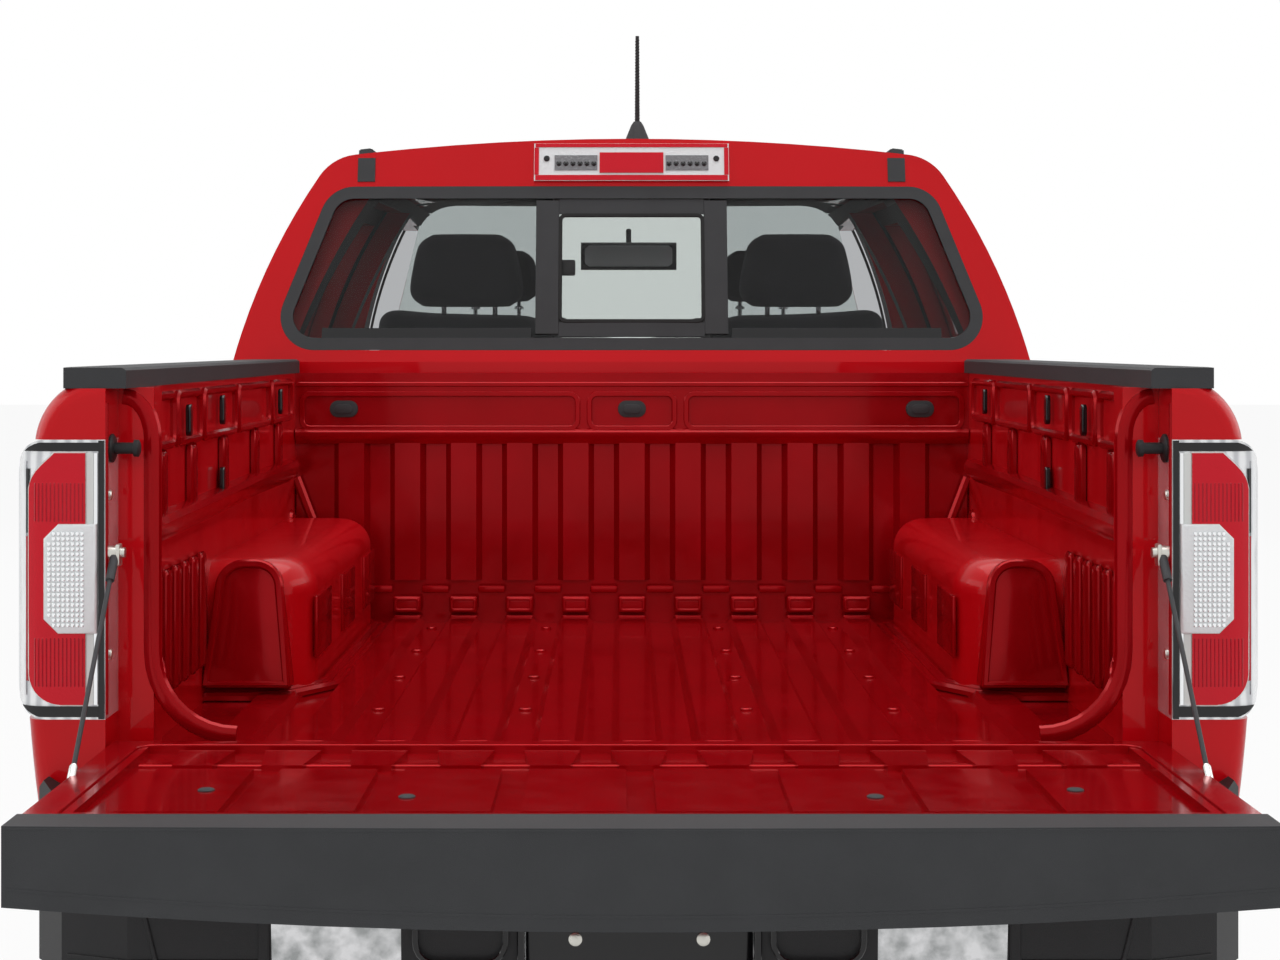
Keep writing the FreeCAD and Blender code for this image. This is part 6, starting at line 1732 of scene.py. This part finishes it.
def seat_pieces():
    def cushion_form(half, y_start):
        bucket = half < 0.4

        def form(p):
            side = min(1.0, abs(p.x) / half)
            bolster = 0.022 * max(0.0, (side - 0.62) / 0.38) ** 2 if bucket else 0.0
            front = max(0.0, (p.y - y_start - 0.42) / 0.14)
            tuft = -0.006 * math.cos(p.y * 2 * math.pi / 0.11) if side < 0.6 else 0.0
            z = p.z + (p.y - y_start) * 0.05
            if p.z > FLOOR + 0.22:
                z += bolster - 0.018 * front**2 + tuft * 0.5
            return Vector((p.x, p.y, z))
        return form

    def back_form(half, y_start, dip):
        bucket = half < 0.4

        def form(p):
            rise = (p.z - (FLOOR + 0.285)) / 0.595
            face = p.y > y_start + 0.03
            side = min(1.0, abs(p.x) / half)
            wing = 0.030 * max(0.0, (side - 0.60) / 0.40) ** 2 if bucket and face else 0.0
            taper = 1.0 - 0.10 * max(0.0, rise - 0.35) if bucket else 1.0
            thin = -0.030 * rise if face else 0.0
            low = dip * rise * max(0.0, math.cos(p.x * math.pi / 0.50)) if abs(p.x) < 0.25 else 0.0
            return Vector((p.x * taper, p.y - 0.112 * rise + thin + wing, p.z - low))
        return form

    def head_form(p):
        rise = (p.z - (FLOOR + 0.885)) / 0.165
        narrow = 1.0 - 0.16 * max(0.0, rise) ** 2
        return Vector((p.x * narrow, p.y - 0.004 * rise, p.z))

    def cushion_at(name, half, y, *more):
        lo = (-half + 0.014, y + 0.034, FLOOR + 0.182)
        hi = (half - 0.014, y + 0.545, FLOOR + 0.268)
        return soft(name, lo, hi, cushion_form(half, y), *more)

    def back_at(name, half, y, dip, *more):
        lo = (-half + 0.022, y - 0.026, FLOOR + 0.296)
        hi = (half - 0.022, y + 0.084, FLOOR + 0.868)
        return soft(name, lo, hi, back_form(half, y, dip), *more)

    half, yb, rb = SEAT_HALF, FRONT_BACK, REAR_BACK
    cushion = cushion_at("seat_cushion_right", half, yb)
    back = back_at("seat_back_right", half, yb, 0.0)
    lo, hi = (-0.118, yb - 0.148, FLOOR + 0.895), (0.118, yb - 0.072, FLOOR + 1.038)
    head = soft("head_rest_right", lo, hi, head_form, 0.012)
    bench = cushion_at("bench_cushion", BENCH_HALF, rb, 0.022, 0.018)
    bench_back = back_at("bench_back", BENCH_HALF, rb, 0.055, 0.022, 0.018)
    for ob, name in ((cushion, "seat_cushion_left"), (back, "seat_back_left"), (head, "head_rest_left")):
        twin = copy_of(ob, name, lambda p: p - Vector((SEAT_X, 0, 0)))
        upholster(twin, "front_seats")
    step_back = Vector((0, rb - yb, 0))
    rest_foot = FLOOR + 0.895

    def onto_bench(p, sign):
        """The bench's rests are wider at their foot and reach down to the back."""
        low = max(0.0, 1 - (p.z - rest_foot) / 0.10)
        wide = 1.10 + 0.12 * low
        return Vector((p.x * wide + sign * 0.386, p.y, p.z - 0.030 * low)) + step_back

    for side, sign in SIDES:
        twin = copy_of(head, f"bench_head_rest_{side}", lambda p, s=sign: onto_bench(p, s))
        upholster(twin, "rear_bench")
    for ob in (cushion, back, head):
        for vert in ob.data.vertices:
            vert.co.x += SEAT_X
        upholster(ob, "front_seats")
    for ob in (bench, bench_back):
        upholster(ob, "rear_bench")
    seams(cushion, back, bench, bench_back)

    def posts(bm):
        for x, y in ((SEAT_X, yb), (0.380, rb)):
            for at in (x - 0.060, x + 0.060):
                rod = [(at, y - 0.100, FLOOR + 0.840), (at, y - 0.110, FLOOR + 0.930)]
                add_sweep(bm, rod, round_section(0.006, 12), BEHIND)
                sleeve = [(0.013, 0), (0.013, 0.006), (0.009, 0.009), (0.006, 0.009)]
                add_lathe(bm, sleeve, (at, y - 0.100, FLOOR + 0.876), UP, 18)
    both(posts, "head_rest_posts", CHROME)

    def bases(bm):
        lo, hi = (SEAT_X - 0.180, yb + 0.060, FLOOR), (SEAT_X + 0.180, yb + 0.480, FLOOR + 0.185)
        add_box(bm, lo, hi, 0.020, 3)
        for x in (SEAT_X - 0.195, SEAT_X + 0.170):
            add_box(bm, (x, yb + 0.010, FLOOR), (x + 0.025, yb + 0.540, FLOOR + 0.030), 0.006, 2)
        for x in (SEAT_X - half - 0.002, SEAT_X + half - 0.028):
            add_box(bm, (x, yb + 0.010, FLOOR + 0.150), (x + 0.030, yb + 0.300, FLOOR + 0.250), 0.014, 3)
        add_box(bm, (0.02, rb + 0.060, FLOOR), (0.555, rb + 0.480, FLOOR + 0.185), 0.020, 3)
    both(bases, "seat_bases", TRIM)


def seams(cushion, back, bench, bench_back):
    """Sewn lines on the seats, laid on the swollen covers."""
    def tree_from(ob):
        mesh = ob.data
        return BVHTree.FromPolygons([v.co for v in mesh.vertices], [list(p.vertices) for p in mesh.polygons])

    seat, rest = tree_from(cushion), tree_from(back)
    wide, tall = tree_from(bench), tree_from(bench_back)

    def line(bm, tree, points, way):
        add_run(bm, tree, points, way, 0.005, 0.0022, 0.5)

    def front(bm):
        across = steps(SEAT_X - 0.158, SEAT_X + 0.158, 16)
        for x in (SEAT_X - 0.160, SEAT_X + 0.160):
            line(bm, seat, [(x, y, CABIN_Z) for y in steps(FRONT_BACK + 0.12, FRONT_BACK + 0.53, 24)], DOWN)
            line(bm, rest, [(x, 1.6, z) for z in steps(FLOOR + 0.36, FLOOR + 0.84, 24)], AHEAD)
        for y in (0.14, 0.28, 0.42):
            line(bm, seat, [(x, FRONT_BACK + y, CABIN_Z) for x in across], DOWN)
        for z in (0.44, 0.56, 0.68, 0.80):
            line(bm, rest, [(x, 1.6, FLOOR + z) for x in across], AHEAD)
    both(front, "seat_seams", SEAM)

    def rear(bm):
        for x in (0.14, 0.34, 0.54):
            line(bm, wide, [(x, y, CABIN_Z) for y in steps(REAR_BACK + 0.12, REAR_BACK + 0.53, 24)], DOWN)
            line(bm, tall, [(x, 0.6, z) for z in steps(FLOOR + 0.36, FLOOR + 0.80, 24)], AHEAD)
    both(rear, "bench_seams", SEAM)


seat_pieces()


# Camera, light and floor

def shown_rays(tree, share):
    """1 times the share for rays from the camera, mirrors and glass, and 0 for the light on the object."""
    path = tree.nodes.new("ShaderNodeLightPath")
    first, both_kinds, scale = (tree.nodes.new("ShaderNodeMath") for _ in range(3))
    first.operation = both_kinds.operation = "MAXIMUM"
    scale.operation = "MULTIPLY"
    scale.inputs[1].default_value = share
    tree.links.new(path.outputs["Is Camera Ray"], first.inputs[0])
    tree.links.new(path.outputs["Is Glossy Ray"], first.inputs[1])
    tree.links.new(first.outputs[0], both_kinds.inputs[0])
    tree.links.new(path.outputs["Is Transmission Ray"], both_kinds.inputs[1])
    tree.links.new(both_kinds.outputs[0], scale.inputs[0])
    return scale.outputs[0]


def shown_as(tree, share, plain, seen, end):
    """The plain shader for the light on the object, and the seen one where the picture shows it."""
    shown = shown_rays(tree, share)
    mix = tree.nodes.new("ShaderNodeMixShader")
    tree.links.new(shown, mix.inputs["Fac"])
    tree.links.new(plain.outputs[0], mix.inputs[1])
    tree.links.new(seen.outputs[0], mix.inputs[2])
    tree.links.new(mix.outputs[0], end.inputs["Surface"])


def source(tree, kind, color, strength):
    node = tree.nodes.new(kind)
    node.inputs["Color"].default_value = (*color, 1)
    node.inputs["Strength"].default_value = strength
    return node


def add_camera(scene):
    camera = bpy.data.objects.new("camera", bpy.data.cameras.new("camera"))
    scene.collection.objects.link(camera)
    camera.location = (-0.028, -5.3685, 1.3255)
    camera.rotation_euler = (math.radians(90), 0, 0)
    camera.data.sensor_width = 36
    camera.data.lens = 58.6
    camera.data.shift_x = 0.0162
    camera.data.shift_y = -0.1064
    camera.data.clip_end = 200
    scene.camera = camera
    scene.view_settings.view_transform = "Standard"


def add_area(scene, name, place, target, size, power, glossy=True):
    lamp = bpy.data.lights.new(name, "AREA")
    lamp.shape = "RECTANGLE"
    lamp.size, lamp.size_y = size
    lamp.energy = power
    ob = bpy.data.objects.new(name, lamp)
    ob.location = place
    ob.rotation_euler = (Vector(target) - Vector(place)).to_track_quat("-Z", "Y").to_euler()
    ob.visible_glossy = glossy
    scene.collection.objects.link(ob)


def add_world(scene):
    world = bpy.data.worlds.new("studio")
    scene.world = world
    world.use_nodes = True
    t = world.node_tree
    t.nodes.clear()
    light = source(t, "ShaderNodeBackground", (0.80, 0.82, 0.85), 0.20)
    seen = source(t, "ShaderNodeBackground", (1, 1, 1), 1.0)
    shown_as(t, 1.0, light, seen, t.nodes.new("ShaderNodeOutputWorld"))


def add_floor(scene, half=40):
    mesh = bpy.data.meshes.new("floor")
    corners = [(-half, -half, 0), (half, -half, 0), (half, half, 0), (-half, half, 0)]
    mesh.from_pydata(corners, [], [(0, 1, 2, 3)])
    floor = bpy.data.objects.new("floor", mesh)
    scene.collection.objects.link(floor)
    m = shader("floor_pale", (0.82, 0.82, 0.82), 0.75)
    t = m.node_tree
    glow = source(t, "ShaderNodeEmission", (1, 1, 1), 1.0)
    shown_as(t, 0.93, t.nodes["Principled BSDF"], glow, t.nodes["Material Output"])
    mesh.materials.append(m)


def look():
    scene = bpy.context.scene
    add_camera(scene)
    add_area(scene, "top_soft", (0, -1.6, 6.5), (0, -0.9, 0), (5, 6), 240)
    add_area(scene, "left_soft", (-6.0, -2.5, 3.2), (0, -0.5, 0.8), (6, 3), 90)
    add_area(scene, "right_soft", (6.0, -1.5, 3.2), (0, 0, 0.8), (6, 3), 90)
    add_area(scene, "back_soft", (0, -9.0, 3.4), (0, -1.5, 0.9), (8, 3.5), 230, False)
    add_area(scene, "front_soft", (0, 8.5, 4.0), (0, 1.5, 0.9), (8, 3.5), 130, False)
    add_world(scene)
    add_floor(scene)


look()
